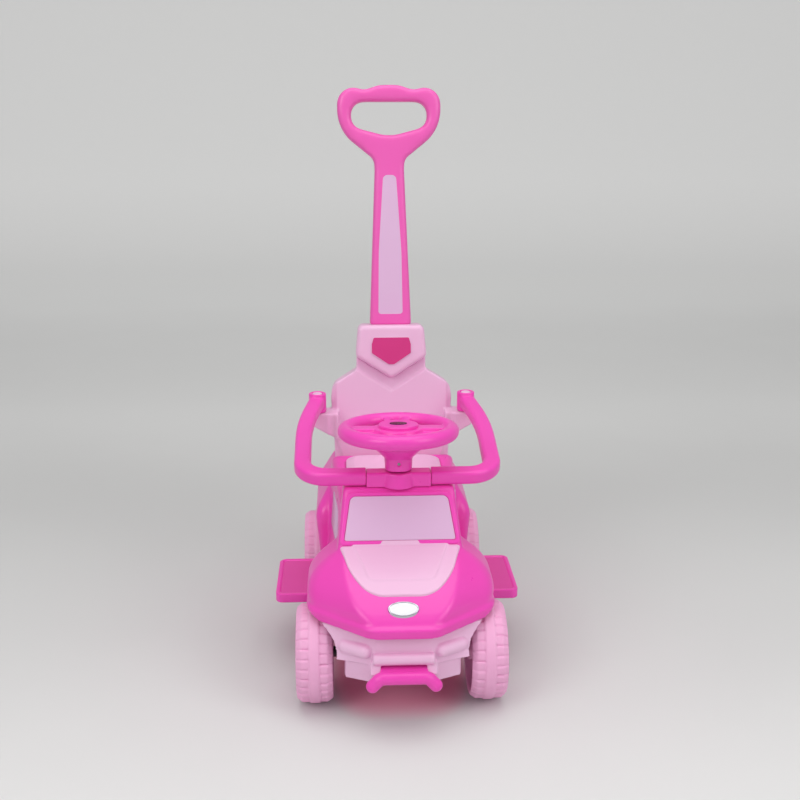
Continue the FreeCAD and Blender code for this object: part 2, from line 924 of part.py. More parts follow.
def side_panel():
    """Sticker panel on the left flank of the waist."""
    length = waist_rear_y - waist_front_y
    front_y = waist_front_y + flank_front_share * length
    rear_y = waist_front_y + flank_rear_share * length
    skin = waist(-seat_gap - sticker).cut(waist(-seat_gap))
    points = [V(bin_half, front_y, sill_z + flank_low), V(bin_half, rear_y, sill_z + flank_low),
              V(bin_half, rear_y - flank_rake, sill_z + flank_high),
              V(bin_half, front_y + flank_rake, sill_z + flank_high)]
    return skin.common(slab(points, [window_corner] * 4, V(fender_half, 0, 0)))


# Dash bracket and guard arms

def dash_bracket():
    """Block on the dash between the guard arms, with the boss that carries the column."""
    low = V(-bracket_half, column_y - bracket_depth / 2, dash_z)
    high = V(bracket_half, column_y + bracket_depth / 2, bracket_z)
    body = rounded_edges(block(low, high), bracket_edge,
                         lambda box: box.XLength > bracket_half and box.ZMin > dash_z + bracket_edge)
    boss = Part.makeCone(boss_outer_radius, boss_top_radius, bracket_height, V(0, column_y, dash_z))
    body = fuse([body, boss])
    holes = [screw_hole(seat, V(0, 0, 1), wall + dash_screw_bite) for seat in dash_screw_seats()]
    return body.cut(holes + [column_bore(column_radius + turn_gap)])


def guard_arm():
    """Left guard arm: a bent bar with a sleeve that turns on the peg of the backrest."""
    run = peg_y - column_y
    rise = wing_z + peg_height / 2 - (dash_z + bracket_height / 2)
    slope = math.atan2(rise, run)
    reach = run / math.cos(slope)
    inner = bracket_half + move_gap
    half = guard_width / 2
    bow = reach - guard_bow_run
    points = [V(inner, -half, 0), V(guard_outer_half, -half, 0), V(guard_bow_half, bow, 0),
              V(peg_half + half, reach, 0), V(peg_half - half, reach, 0),
              V(guard_bow_half - guard_width, bow, 0), V(guard_outer_half - guard_width, half, 0),
              V(inner, half, 0)]
    corners = (0, guard_corner, guard_bow_round, 0,
               0, guard_bow_round - guard_width, guard_corner - guard_width, 0)
    bar = slab(points, corners, V(0, 0, guard_height))

    def long_edge(box):
        level = box.ZLength < guard_edge
        return level and box.XMax > inner + guard_edge and box.YMin < reach - guard_edge

    bar = rounded_edges(bar, guard_edge, long_edge)
    bar = bar.rotated(V(0, 0, 0), V(1, 0, 0), math.degrees(slope))
    bar = bar.translated(V(0, column_y, dash_z + half * math.tan(slope) + move_gap))
    foot = V(peg_half, peg_y, wing_z + move_gap)
    head = V(peg_half, peg_y, wing_z + peg_height)
    sleeve = rod(sleeve_radius, foot, head)
    arm = fuse([bar, sleeve])
    behind_y = peg_y + sleeve_radius + overrun
    below = block(V(0, peg_y - wing_ahead - sleeve_radius, 0), V(guard_outer_half, behind_y, foot.z))
    bore = rod(peg_radius + move_gap, foot - V(0, 0, overrun), head + V(0, 0, overrun))
    above = block(V(0, peg_y - sleeve_radius, head.z), V(guard_outer_half, behind_y, head.z + overrun))
    return arm.cut([below, bore, above])


# Steering

def column_height(height):
    """Distance below the top of the bracket, along the column, of a level."""
    return (height - bracket_z) / math.cos(math.radians(column_lean))


def steering_column():
    """Steel rod with a crank at its foot that points to the rear and has a pin in the tie rod."""
    crank_low = column_height(tie_rod_top_z) + crank_thickness / 2
    top = hub_top() - hub_floor
    shaft = rod(column_radius, V(0, 0, crank_low), V(0, 0, top))
    half = crank_width / 2
    rear_y = crank_radius + half
    outline = [V(-half, -half, crank_low), V(half, -half, crank_low),
               V(half, rear_y, crank_low), V(-half, rear_y, crank_low)]
    crank = slab(outline, [half * end_round_share] * 4, V(0, 0, crank_thickness))
    pin = rod(pin_radius, V(0, crank_radius, crank_low - crank_pin_drop), V(0, crank_radius, crank_low))
    column = along_column(fuse([shaft, crank, pin]))
    return column.cut(cross_screw_hole())


def cross_screw_hole():
    start = V(0, -sleeve_high_radius - overrun, cross_screw_rise)
    finish = V(0, cross_screw_reach + seat_gap, cross_screw_rise)
    return along_column(rod(cross_screw_radius + screw_gap, start, finish))


def column_screw():
    """Screw that holds the steering wheel's sleeve to the column."""
    seat = -sleeve_low_radius + cross_screw_sunk
    under_head = V(0, seat, cross_screw_rise)
    head = rod(cross_screw_head, V(0, seat - screw_head, cross_screw_rise), under_head)
    shank = rod(cross_screw_radius, under_head, V(0, cross_screw_reach, cross_screw_rise))
    return along_column(head.fuse(shank))


def sleeve_foot():
    """Level where the leaning sleeve just clears the bracket's flat top."""
    return move_gap + sleeve_low_radius * math.tan(math.radians(column_lean))


def steering_wheel():
    """Rim on four spokes, with a solid web that slopes from its front half to the sleeve."""
    low = sleeve_foot()
    sleeve = Part.makeCone(sleeve_low_radius, sleeve_high_radius, sleeve_height, V(0, 0, low))
    cone = Part.makeCone(sleeve_high_radius, hub_cone_radius, hub_cone_height, V(0, 0, low + sleeve_height))
    disc_z = low + sleeve_height + hub_cone_height
    disc = Part.makeCylinder(hub_cone_radius, hub_top() - disc_z, V(0, 0, disc_z))
    rim = Part.makeTorus(rim_radius, rim_tube, V(0, 0, rim_rise))
    spoke_z = rim_rise - wheel_spoke_height / 2
    sides = block(V(-rim_radius, -wheel_spoke_width / 2, spoke_z),
                  V(rim_radius, wheel_spoke_width / 2, hub_top()))
    rears = pair_of(block(V(rear_spoke_half - rear_spoke_width / 2, 0, spoke_z),
                          V(rear_spoke_half + rear_spoke_width / 2, rim_radius, hub_top())))
    web_low = low + sleeve_height
    web_radius = rim_radius - web_rim_bite
    web = Part.makeCone(sleeve_high_radius, web_radius, rim_rise - web_low, V(0, 0, web_low))
    web = web.cut(block(V(-web_radius, -web_front, 0), V(web_radius, web_radius, hub_top())))
    wheel = fuse([sleeve, cone, disc, rim, sides, web] + rears)
    bore = rod(column_radius + turn_gap, V(0, 0, -overrun), V(0, 0, hub_top() - hub_floor + seat_gap))
    seat = -sleeve_low_radius + cross_screw_sunk
    head_hole = rod(cross_screw_head + screw_gap, V(0, -sleeve_high_radius - overrun, cross_screw_rise),
                    V(0, seat, cross_screw_rise))
    return along_column(wheel.cut([bore, head_hole])).cut(cross_screw_hole())


def hub_top():
    return rim_rise + wheel_spoke_height / 2


def steering_hub_cover():
    cover = Part.makeCylinder(cover_radius, cover_height, V(0, 0, hub_top()))
    top = hub_top() + cover_height
    return along_column(rounded_edges(cover, cover_edge, lambda box: box.ZMin > top - cover_edge))


def steering_badge():
    """Bare oval plate on the hub cover."""
    oval = Part.Ellipse(V(0, 0, hub_top() + cover_height), plate_half, plate_half_depth)
    return along_column(Part.Face(Part.Wire(oval.toShape())).extrude(V(0, 0, plate_height)))


def tie_rod():
    """Flat bar with cross slots for the crank pin and the two arm pins."""
    half = tie_rod_width / 2
    end = kingpin_half + tie_rod_end
    bar = block(V(-end, tie_rod_y - half, tie_rod_low_z), V(end, tie_rod_y + half, tie_rod_top_z))
    width = pin_radius + pin_play

    def slot(x, travel):
        front_y = tie_rod_y - travel - width
        points = [V(x - width, front_y, 0), V(x + width, front_y, 0),
                  V(x + width, tie_rod_y + width, 0), V(x - width, tie_rod_y + width, 0)]
        return slab(points, [pin_radius] * 4, V(0, 0, cowl_z))

    return bar.cut([slot(0, pin_travel)] + pair_of(slot(kingpin_half, arm_pin_travel)))


def knuckle():
    """Left steering knuckle: kingpin, stub axle and an arm to the rear."""
    centre = V(kingpin_half, front_axle_y, axle_z)
    low = axle_z - knuckle_below
    hub = rod(knuckle_radius, V(centre.x, centre.y, low), V(centre.x, centre.y, ear_low_z - move_gap))
    pin = rod(kingpin_radius, V(centre.x, centre.y, low),
              V(centre.x, centre.y, ear_top_z + move_gap + clip_thickness + clip_nose))
    stub = rod(axle_radius, centre, V(axle_end_half(), centre.y, axle_z))
    shoulder = rod(stub_shoulder_radius, centre, V(wheel_inner_half - move_gap, centre.y, axle_z))
    half = arm_width / 2
    rear_y = tie_rod_y + half
    outline = [V(centre.x - half, centre.y, arm_low_z), V(centre.x + half, centre.y, arm_low_z),
               V(centre.x + half, rear_y, arm_low_z), V(centre.x - half, rear_y, arm_low_z)]
    end_round = half * end_round_share
    arm = slab(outline, (0, 0, end_round, end_round), V(0, 0, arm_thickness))
    arm_pin = rod(pin_radius, V(centre.x, tie_rod_y, arm_low_z),
                  V(centre.x, tie_rod_y, tie_rod_top_z + clip_nose))
    return fuse([hub, pin, stub, shoulder, arm, arm_pin])


def kingpin_clip():
    low = V(kingpin_half, front_axle_y, ear_top_z + move_gap)
    high = low + V(0, 0, clip_thickness)
    return rod(clip_radius, low, high).cut(rod(kingpin_radius + turn_gap, low, high))


# Wheels and rear axle

def axle_end_half():
    return wheel_middle_half + hub_face + move_gap + nut_thickness + axle_nose


def wheel():
    """Moulded wheel about the X axis, outer side towards +X."""
    side = wheel_width / 2
    tread = wheel_radius - tread_drop
    edge = tread - shoulder_run
    dish = edge - rim_wall
    bore = axle_radius + turn_gap
    profile = [(-side, bore), (hub_face, bore), (hub_face, hub_radius), (web_half, hub_radius),
               (web_half, dish - dish_slope), (side, dish), (side, edge), (side - shoulder_drop, tread),
               (rib_half, tread), (rib_half, wheel_radius), (-rib_half, wheel_radius), (-rib_half, tread),
               (-side + shoulder_drop, tread), (-side, edge), (-side, dish), (-web_half, dish - dish_slope),
               (-web_half, inner_hub_radius), (-side, inner_hub_radius)]
    points = [V(x, 0, r) for x, r in profile]
    body = Part.Face(Part.makePolygon(points + points[:1])).revolve(V(0, 0, 0), V(1, 0, 0), 360)
    spoke = block(V(0, -spoke_width / 2, hub_radius - spoke_height),
                  V(web_half + spoke_height, spoke_width / 2, dish - dish_slope))
    spokes = [spoke.rotated(V(0, 0, 0), V(1, 0, 0), 360 * i / spoke_count) for i in range(spoke_count)]
    body = fuse([body] + spokes)
    groove = block(V(rib_half, -lug_gap / 2, tread - lug_depth),
                   V(side + overrun, lug_gap / 2, wheel_radius + overrun))
    step = 360 / lug_count
    grooves = [groove.rotated(V(0, 0, 0), V(1, 0, 0), step * i) for i in range(lug_count)]
    grooves += [mirror(groove).rotated(V(0, 0, 0), V(1, 0, 0), step * (i + 0.5)) for i in range(lug_count)]
    return body.cut(grooves)


def hub_cap():
    """Domed cap over the axle nut, in the wheel's own frame."""
    base = hub_face
    top = base + cap_height
    hollow = nut_radius + cap_wall
    profile = [(base, hollow), (base, cap_radius), (base + cap_rim, cap_radius),
               (top, cap_crown_radius), (top, 0), (top - cap_wall, 0), (top - cap_wall, hollow)]
    points = [V(x, 0, r) for x, r in profile]
    return Part.Face(Part.makePolygon(points + points[:1])).revolve(V(0, 0, 0), V(1, 0, 0), 360)


def at_wheel(shape, side, axle_y):
    """Left wheels keep the shape; right wheels mirror it."""
    placed = shape.translated(V(wheel_middle_half, axle_y, axle_z))
    return placed if side > 0 else mirror(placed)


def axle_nut():
    """Push-on nut on an axle end, in the wheel's own frame."""
    start = hub_face + move_gap
    ring = rod(nut_radius, V(start, 0, 0), V(start + nut_thickness, 0, 0))
    return ring.cut(rod(axle_radius + turn_gap, V(0, 0, 0), V(wheel_width, 0, 0)))


def rear_axle():
    return rod(axle_radius, V(-axle_end_half(), rear_axle_y, axle_z), V(axle_end_half(), rear_axle_y, axle_z))


def rear_spacers():
    start = V(lower_half + seat_gap, rear_axle_y, axle_z)
    finish = V(wheel_inner_half - move_gap, rear_axle_y, axle_z)
    tube = rod(spacer_radius, start, finish).cut(rod(axle_radius + turn_gap, V(0, rear_axle_y, axle_z),
                                                    V(fender_half, rear_axle_y, axle_z)))
    return pair_of(tube)


# Footrests

def footrest():
    """Left footrest: rounded plate with a raised rim, on the lower body's side."""
    low = footrest_low_z()
    top = low + footrest_thickness
    inner = waist_half + seat_gap
    front_y = footrest_front_y
    rear_y = footrest_rear_y
    corners = (0, footrest_corner, footrest_corner, 0)

    def outline(inset, height):
        return [V(inner, front_y + inset, height), V(footrest_half - inset, front_y + inset, height),
                V(footrest_half - inset, rear_y - inset, height), V(inner, rear_y - inset, height)]

    plate = slab(outline(0, low), corners, V(0, 0, footrest_thickness))
    tread_corner = footrest_corner - footrest_rim
    recess = slab(outline(footrest_rim, top - footrest_sunk), (0, tread_corner, tread_corner, 0),
                  V(0, 0, overrun))
    tongue = block(V(lower_half + seat_gap, front_y, low), V(inner + footrest_rim, rear_y, sill_z - seat_gap))
    holes = [screw_hole(seat, V(1, 0, 0), wall + footrest_screw_bite) for seat in footrest_screw_seats()]
    return fuse([plate, tongue]).cut([recess, waist(-seat_gap)] + holes)


# Backrest, headrest and push handle

def back_outline(inset, depth):
    half = [(foot_half - inset, -foot_below), (loin_half - inset, loin_height),
            (chest_half - inset, chest_height), (collar_half - inset, collar_height - inset),
            (neck_half - inset, neck_foot_height - inset), (neck_half - inset, neck_height - inset)]
    corners = paired((0, loin_round, chest_round, collar_round, neck_round, 0))
    return rounded(upright(half, depth), corners)


def head_body(gap):
    half = [(head_side_half + gap, head_side_height - gap), (head_top_half + gap, head_top_height)]
    points = upright(half, -head_proud) + [V(0, -head_proud, head_tip_height - gap)]
    radii = paired((head_round, head_round)) + [head_round]
    return slab(points, radii, V(0, head_proud + back_depth + head_rear_proud, 0))


def plug_space(gap, low, high):
    return block(V(-plug_half - gap, pole_centre - plug_half_depth - gap, low),
                 V(plug_half + gap, pole_centre + plug_half_depth + gap, high))


def plug_low():
    return head_top_height - plug_length


def below_deck():
    far = V(car_length, car_length, deck_z)
    return block(V(-car_length, -car_length, -car_length), far)


def wing():
    """Left wing of the backrest with the peg that the guard arm turns on."""
    points = [V(wing_root_half, peg_y - wing_ahead, wing_z - wing_root_height),
              V(wing_half, peg_y - wing_ahead, wing_z - wing_end_height),
              V(wing_half, peg_y - wing_ahead, wing_z), V(wing_root_half, peg_y - wing_ahead, wing_z)]
    arm = slab(points, (0, bracket_edge, 0, 0), V(0, wing_ahead + wing_behind, 0))
    peg = rod(peg_radius, V(peg_half, peg_y, wing_z - peg_radius), V(peg_half, peg_y, wing_z + peg_height))
    return fuse([arm, peg])


def backrest():
    """Front moulding of the backrest, open behind, with wings and the socket of the push handle."""
    up = V(0, 0, 1)
    body = Part.Face(back_outline(0, 0)).extrude(V(0, back_depth, 0))
    hollow = Part.Face(back_outline(back_wall, back_wall)).extrude(V(0, back_depth, 0))
    socket_low = plug_low() - socket_wall
    socket = plug_space(socket_wall, socket_low, neck_height)
    rib = block(V(-plug_half, back_wall / 2, socket_low),
                V(plug_half, pole_centre + plug_half_depth + socket_wall, plug_low()))
    foot = block(V(-foot_half + back_wall, back_wall, -foot_below),
                 V(foot_half - back_wall, back_depth, back_wall))
    shell = fuse([body.cut(hollow), socket, rib, foot])
    shell = shell.cut([head_body(seat_gap), plug_space(move_gap, plug_low(), neck_height + overrun)])
    shell = fuse([lean(shell)] + pair_of(wing()))
    boss_top = up * (wall + back_screw_bite + wall)
    bosses = [rod(boss_radius, seat, seat + boss_top) for seat in back_screw_seats()]
    holes = [screw_hole(seat, up, wall + back_screw_bite) for seat in back_screw_seats()]
    return fuse([shell] + bosses).cut([below_deck()] + holes)


def backrest_cover():
    """Plate that closes the back of the backrest."""
    outline = back_outline(back_wall + seat_gap, back_depth - cover_thickness)
    plate = Part.Face(outline).extrude(V(0, cover_thickness, 0))
    foot = block(V(-car_length, -car_length, -car_length), V(car_length, car_length, back_wall + seat_gap))
    return lean(plate.cut([foot, head_body(seat_gap)])).cut(below_deck().translated(V(0, 0, seat_gap)))


def headrest():
    body = head_body(0)
    front = -head_proud
    body = rounded_edges(body, head_edge, lambda box: box.YMax < front + head_edge)
    return lean(body.cut(plug_space(move_gap, 0, head_top_height + overrun)))


shield_shares = ((0.9, 1.0), (1.0, 0.75), (1.0, 0.42), (0.14, 0.0))


def shield_badge():
    """Bare five-sided plate on the headrest."""
    half = [(share_x * shield_half, head_tip_height + shield_above_tip + share_z * shield_height)
            for share_x, share_z in shield_shares]
    corners = paired((shield_round,) * len(shield_shares))
    return lean(slab(upright(half, -head_proud - seat_gap), corners, V(0, -shield_thickness, 0)))


def handle_outline(depth):
    top = ring_top_height
    half = [(pole_foot_half, head_top_height + move_gap), (pole_neck_half, pole_neck_height),
            (ring_root_half, ring_root_height), (ring_half, ring_flank_height),
            (ring_half, top + ear_rise), (dip_half, top - dip_drop), (crest_half, top)]
    radii = (0, 0, ring_root_round, ring_flank_round, ring_ear_round, ring_crest_round, ring_crest_round)
    return rounded(upright(half, depth), paired(radii))


def decal_outline(gap, depth):
    low = head_top_height + decal_low_margin
    top = pole_neck_height - decal_top_margin
    half = [(decal_low_half + gap, low - gap),
            (decal_mid_half + gap, low + decal_mid_share * (top - low)),
            (decal_top_half + gap, top + gap)]
    return rounded(upright(half, depth), paired((decal_corner, decal_bow, decal_top_round)))


def push_handle():
    """Pole with a grip ring; its plug drops into the headrest and the backrest."""
    front = pole_centre - pole_depth / 2
    deep = V(0, pole_depth, 0)
    grip = [(grip_low_half, grip_low_height), (grip_half, grip_flank_height), (grip_half, grip_top_height)]
    hole = slab(upright(grip, front), paired((grip_low_round, grip_corner, grip_corner)), deep)
    body = Part.Face(handle_outline(front)).extrude(deep).cut(hole)
    low = head_top_height + handle_edge
    body = rounded_edges(body, handle_edge, lambda box: box.YLength < handle_edge and box.ZMax > low)
    recess = Part.Face(decal_outline(seat_gap, front + decal_sunk)).extrude(V(0, -overrun, 0))
    plug = plug_space(0, plug_low() + move_gap, head_top_height + handle_edge)
    return lean(fuse([body, plug]).cut(recess))


def handle_decal():
    depth = pole_centre - pole_depth / 2 + decal_sunk
    return lean(Part.Face(decal_outline(0, depth)).extrude(V(0, -decal_sunk / 2, 0)))


# Groups of screws

def body_screws():
    return [screw(seat, V(0, 0, 1), sill_height + wall + body_screw_bite) for seat in body_screw_seats()]


def bumper_screws():
    return [screw(seat, V(0, -1, 0), bumper_screw_bite) for seat in bumper_screw_seats()]


def footrest_screws():
    screws = [screw(seat, V(1, 0, 0), wall + footrest_screw_bite) for seat in footrest_screw_seats()]
    return screws + [mirror(shape) for shape in screws]


def backrest_screws():
    return [screw(seat, V(0, 0, 1), wall + back_screw_bite) for seat in back_screw_seats()]


def dash_screws():
    return [screw(seat, V(0, 0, 1), wall + dash_screw_bite) for seat in dash_screw_seats()]


def all_nodes():
    nodes = {
        "body_shell": body_shell(),
        "lower_body": lower_body(),
        "front_bumper": front_bumper(),
        "bull_bar": bull_bar(),
        "hood_panel": hood_panel(),
        "oval_badge": oval_badge(),
        "windscreen_panel": windscreen_panel(),
        "dash_bracket": dash_bracket(),
        "steering_wheel": steering_wheel(),
        "steering_hub_cover": steering_hub_cover(),
        "steering_badge": steering_badge(),
        "steering_column": steering_column(),
        "column_screw": column_screw(),
        "tie_rod": tie_rod(),
        "rear_axle": rear_axle(),
        "rear_spacers": Part.makeCompound(rear_spacers()),
        "seat_lid": seat_lid(),
        "backrest": backrest(),
        "backrest_cover": backrest_cover(),
        "headrest": headrest(),
        "shield_badge": shield_badge(),
        "push_handle": push_handle(),
        "handle_decal": handle_decal(),
        "body_screws": Part.makeCompound(body_screws()),
        "bumper_screws": Part.makeCompound(bumper_screws()),
        "footrest_screws": Part.makeCompound(footrest_screws()),
        "backrest_screws": Part.makeCompound(backrest_screws()),
        "dash_screws": Part.makeCompound(dash_screws()),
    }
    for name, shape in (("side_panel", side_panel()), ("guard_arm", guard_arm()), ("knuckle", knuckle()),
                        ("kingpin_clip", kingpin_clip()), ("footrest", footrest())):
        nodes[name + "_left"] = shape
        nodes[name + "_right"] = mirror(shape)
    for name, shape in (("wheel", wheel()), ("hub_cap", hub_cap()), ("axle_nut", axle_nut())):
        for end, axle_y in (("front", front_axle_y), ("rear", rear_axle_y)):
            nodes["%s_%s_left" % (name, end)] = at_wheel(shape, 1, axle_y)
            nodes["%s_%s_right" % (name, end)] = at_wheel(shape, -1, axle_y)
    return nodes


os.makedirs("parts", exist_ok=True)
for node_name, node_shape in all_nodes().items():
    node_shape.exportStep("parts/%s.step" % node_name)
    print(node_name, len(node_shape.Solids), round(node_shape.Volume / 1000, 1), node_shape.isValid())
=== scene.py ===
import bpy
import bmesh
import math
from mathutils import Matrix, Vector


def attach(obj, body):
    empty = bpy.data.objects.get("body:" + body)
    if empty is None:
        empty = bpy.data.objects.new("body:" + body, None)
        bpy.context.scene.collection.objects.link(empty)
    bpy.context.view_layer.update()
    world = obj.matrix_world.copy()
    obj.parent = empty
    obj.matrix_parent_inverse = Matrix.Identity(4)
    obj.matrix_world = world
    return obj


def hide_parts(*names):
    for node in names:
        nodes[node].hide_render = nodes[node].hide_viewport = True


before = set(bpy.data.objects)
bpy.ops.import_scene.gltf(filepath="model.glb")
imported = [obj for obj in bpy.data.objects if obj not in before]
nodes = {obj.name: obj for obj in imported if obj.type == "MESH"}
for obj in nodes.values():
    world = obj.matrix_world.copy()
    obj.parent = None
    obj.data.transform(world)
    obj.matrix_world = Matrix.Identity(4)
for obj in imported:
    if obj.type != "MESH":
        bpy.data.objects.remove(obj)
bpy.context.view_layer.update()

# Places on the car in millimetres: front towards -Y, its left towards +X, up is +Z
SIDES = (("left", 1), ("right", -1))
FRONT_AXLE_Y = -178
REAR_AXLE_Y = 212
AXLES = (("front", FRONT_AXLE_Y), ("rear", REAR_AXLE_Y))
AXLE_Z = 75
WHEEL_X = 129
WHEEL_INNER_X = 98
KINGPIN_X = 86
ARCH_RADIUS = 80
ARCH_OUTER_X = 180
SILL_Z = 112
LIP_Z = 147
RIDGE_Z = 164
SHOULDER_Z = 190
COWL_Z = 236
DECK_Z = 252
SEAT_Z = 277
ABOVE_SEAT_Z = 320
BACK_Y = 159
COLUMN_FOOT = (0, -102, 336)
SCREEN_FOOT_Y = -168
SCREEN_FOOT_Z = 228

# Directions up the windscreen's slope and out of it
SCREEN_UPWARDS = (0, 52, 86)
SCREEN_OUTWARDS = (0, -86, 52)

# Leans in radians, and turns of the front wheels in degrees
BACK_LEAN = math.radians(8)
COLUMN_LEAN = math.radians(4)
STEERED_ANGLES = (-11.2, 0, 11.2)

# Corner run of an outline where it stays sharp
SHARP = 0.5


# Small tools

def mm(length):
    """A length in millimetres, as metres."""
    return length / 1000


def in_mm(length):
    """A length in metres, as millimetres."""
    return 1000 * length


def at(x, y, z):
    """A place in millimetres, as metres."""
    return Vector((x, y, z)) / 1000


def ease(share):
    """Soft step from 0 to 1."""
    share = min(max(share, 0), 1)
    return share * share * (3 - 2 * share)


def moved(bm, x, y, z):
    """Shifts the shape by a way in millimetres."""
    bmesh.ops.translate(bm, vec=at(x, y, z), verts=bm.verts)
    return bm


def turned(bm, centre, angle, axis):
    """Turns the shape about a place in millimetres."""
    bmesh.ops.rotate(bm, cent=at(*centre), matrix=Matrix.Rotation(angle, 3, axis), verts=bm.verts)
    return bm


def cad_copy(name):
    """Merged copy of a CAD node."""
    merge_distance = 0.00001
    bm = bmesh.new()
    bm.from_mesh(nodes[name].data)
    bmesh.ops.remove_doubles(bm, verts=bm.verts, dist=merge_distance)
    return bm


def add_shape(bm, other):
    """Puts a second shape beside the first in one mesh."""
    mesh = bpy.data.meshes.new("part")
    other.to_mesh(mesh)
    bm.from_mesh(mesh)
    bpy.data.meshes.remove(mesh)
    return bm


def baked(bm, modify):
    """The shape after modifiers that the function adds to it."""
    rough = bpy.data.objects.new("rough", bpy.data.meshes.new("rough"))
    bm.to_mesh(rough.data)
    bpy.context.collection.objects.link(rough)
    modify(rough)
    finished = rough.evaluated_get(bpy.context.evaluated_depsgraph_get())
    mesh = bpy.data.meshes.new_from_object(finished)
    result = bmesh.new()
    result.from_mesh(mesh)
    bpy.data.meshes.remove(mesh)
    bpy.data.meshes.remove(rough.data)
    return result


def carved(bm, cutter, operation="DIFFERENCE"):
    """The shape with another one cut out of it, or kept only where both are."""
    tool = bpy.data.objects.new("tool", bpy.data.meshes.new("tool"))
    cutter.to_mesh(tool.data)
    bpy.context.collection.objects.link(tool)

    def cut(rough):
        step = rough.modifiers.new("cut", "BOOLEAN")
        step.operation = operation
        step.solver = "EXACT"
        step.object = tool

    result = baked(bm, cut)
    bpy.data.meshes.remove(tool.data)
    return result


def mirrored(bm):
    """The same shape on the car's other side."""
    twin = bm.copy()
    bmesh.ops.scale(twin, vec=(-1, 1, 1), verts=twin.verts)
    bmesh.ops.reverse_faces(twin, faces=twin.faces)
    return twin


def carved_both(bm, cutter):
    """The shape with a cutter taken out on both sides of the car."""
    return carved(carved(bm, cutter), mirrored(cutter))


def smoothed(bm, verts, passes):
    """Evens out vertices towards their neighbours."""
    for _ in range(passes):
        bmesh.ops.smooth_vert(bm, verts=verts, factor=0.5,
                              use_axis_x=True, use_axis_y=True, use_axis_z=True)
    return bm


def moulded(bm, grain, passes):
    """Closed shapes melted into one skin with soft edges, as a moulding has; grain in millimetres."""
    def melt(rough):
        step = rough.modifiers.new("melt", "REMESH")
        step.mode = "VOXEL"
        step.voxel_size = mm(grain)

    skin = baked(bm, melt)
    return smoothed(skin, skin.verts, passes)


def piece(name, bm, body, material, replaced=()):
    """Finished piece: smooth shaded, with its material, on its body."""
    mesh = bpy.data.meshes.new(name)
    bm.to_mesh(mesh)
    mesh.polygons.foreach_set("use_smooth", [True] * len(mesh.polygons))
    obj = bpy.data.objects.new(name, mesh)
    bpy.context.collection.objects.link(obj)
    mesh.materials.append(material)
    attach(obj, body)
    if replaced:
        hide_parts(*replaced)
    return obj


def ring_outline(bm, half, height, segments):
    """Flat face at one height, from its left half in plan: x, y and corner run in millimetres."""
    same_height = 1e-7
    points = list(half) + [(-x, y, run) for x, y, run in reversed(half)]
    corners = [bm.verts.new(at(x, y, height)) for x, y, _ in points]
    bm.faces.new(corners)
    for vert, (_, _, run) in zip(corners, points):
        bmesh.ops.bevel(bm, geom=[vert], offset=mm(run), offset_type="OFFSET", affect="VERTICES",
                        segments=segments, profile=0.5, material=-1)
    level = [f for f in bm.faces if all(abs(v.co.z - mm(height)) < same_height for v in f.verts)]
    return level[0]


def stacked(levels, segments=6):
    """Closed shape through flat outlines, each a pair of height and left half."""
    bm = bmesh.new()
    faces = [ring_outline(bm, half, height, segments) for height, half in levels]
    loops = [list(face.edges) for face in faces]
    for low, high in zip(loops, loops[1:]):
        bmesh.ops.bridge_loops(bm, edges=low + high)
    bmesh.ops.delete(bm, geom=faces[1:-1], context="FACES_ONLY")
    bmesh.ops.recalc_face_normals(bm, faces=bm.faces)
    return bm


def prism(half, low, high):
    """Upright block in an outline."""
    return stacked([(low, half), (high, half)])


def ruled(low, high, steps=12):
    """Closed shape between two outlines, in thin layers so that twisted sides are alike left and right."""
    (low_z, low_half), (high_z, high_half) = low, high
    levels = []
    for i in range(steps + 1):
        share = i / steps
        corners = zip(low_half, high_half)
        half = [[a + (b - a) * share for a, b in zip(under, over)] for under, over in corners]
        levels.append((low_z + (high_z - low_z) * share, half))
    return stacked(levels)


def eased(bm, run, wanted, segments=4):
    """Rounds the edges that the test picks."""
    edges = [e for e in bm.edges if wanted(e)]
    bmesh.ops.bevel(bm, geom=edges, offset=mm(run), offset_type="OFFSET", affect="EDGES",
                    segments=segments, profile=0.5, material=-1)
    return bm


def level_edge(height):
    """Test for edges that lie at one height."""
    near = 0.0001
    return lambda e: all(abs(v.co.z - mm(height)) < near for v in e.verts)


def box(low, high):
    """Block between two corners in millimetres."""
    low, high = at(*low), at(*high)
    bm = bmesh.new()
    bmesh.ops.create_cube(bm, size=1.0)
    bmesh.ops.scale(bm, vec=high - low, verts=bm.verts)
    bmesh.ops.translate(bm, vec=(low + high) / 2, verts=bm.verts)
    return bm


def drum(radius, start, finish, sides=64):
    """Round bar between two points in millimetres."""
    start, finish = at(*start), at(*finish)
    along = finish - start
    bm = bmesh.new()
    bmesh.ops.create_cone(bm, cap_ends=True, segments=sides, radius1=mm(radius), radius2=mm(radius),
                          depth=along.length)
    turn = Vector((0, 0, 1)).rotation_difference(along).to_matrix()
    bmesh.ops.rotate(bm, cent=(0, 0, 0), matrix=turn, verts=bm.verts)
    bmesh.ops.translate(bm, vec=(start + finish) / 2, verts=bm.verts)
    return bm


# Materials

# Sizes of patterns in millimetres
CLOUD_SIZE = 70
SCUFF_SIZE = 18
MOTTLE_SIZE = 3
FIBRE_SIZE = 400

# Height of a skin's grain in metres
GRAIN_HEIGHT = 0.0004

# How strongly plastic bends light
PLASTIC_IOR = 1.49

# Roughness ranges
GLOSSY = (0.25, 0.34)
SATIN = (0.28, 0.38)
FILM_GLOSS = (0.30, 0.38)
RESIN_GLOSS = (0.14, 0.22)
WHEEL_GLOSS = (0.42, 0.54)
NYLON_GLOSS = (0.45, 0.6)
DULL = (0.5, 0.62)
STEEL_GLOSS = (0.28, 0.45)
CHROME_GLOSS = (0.12, 0.2)

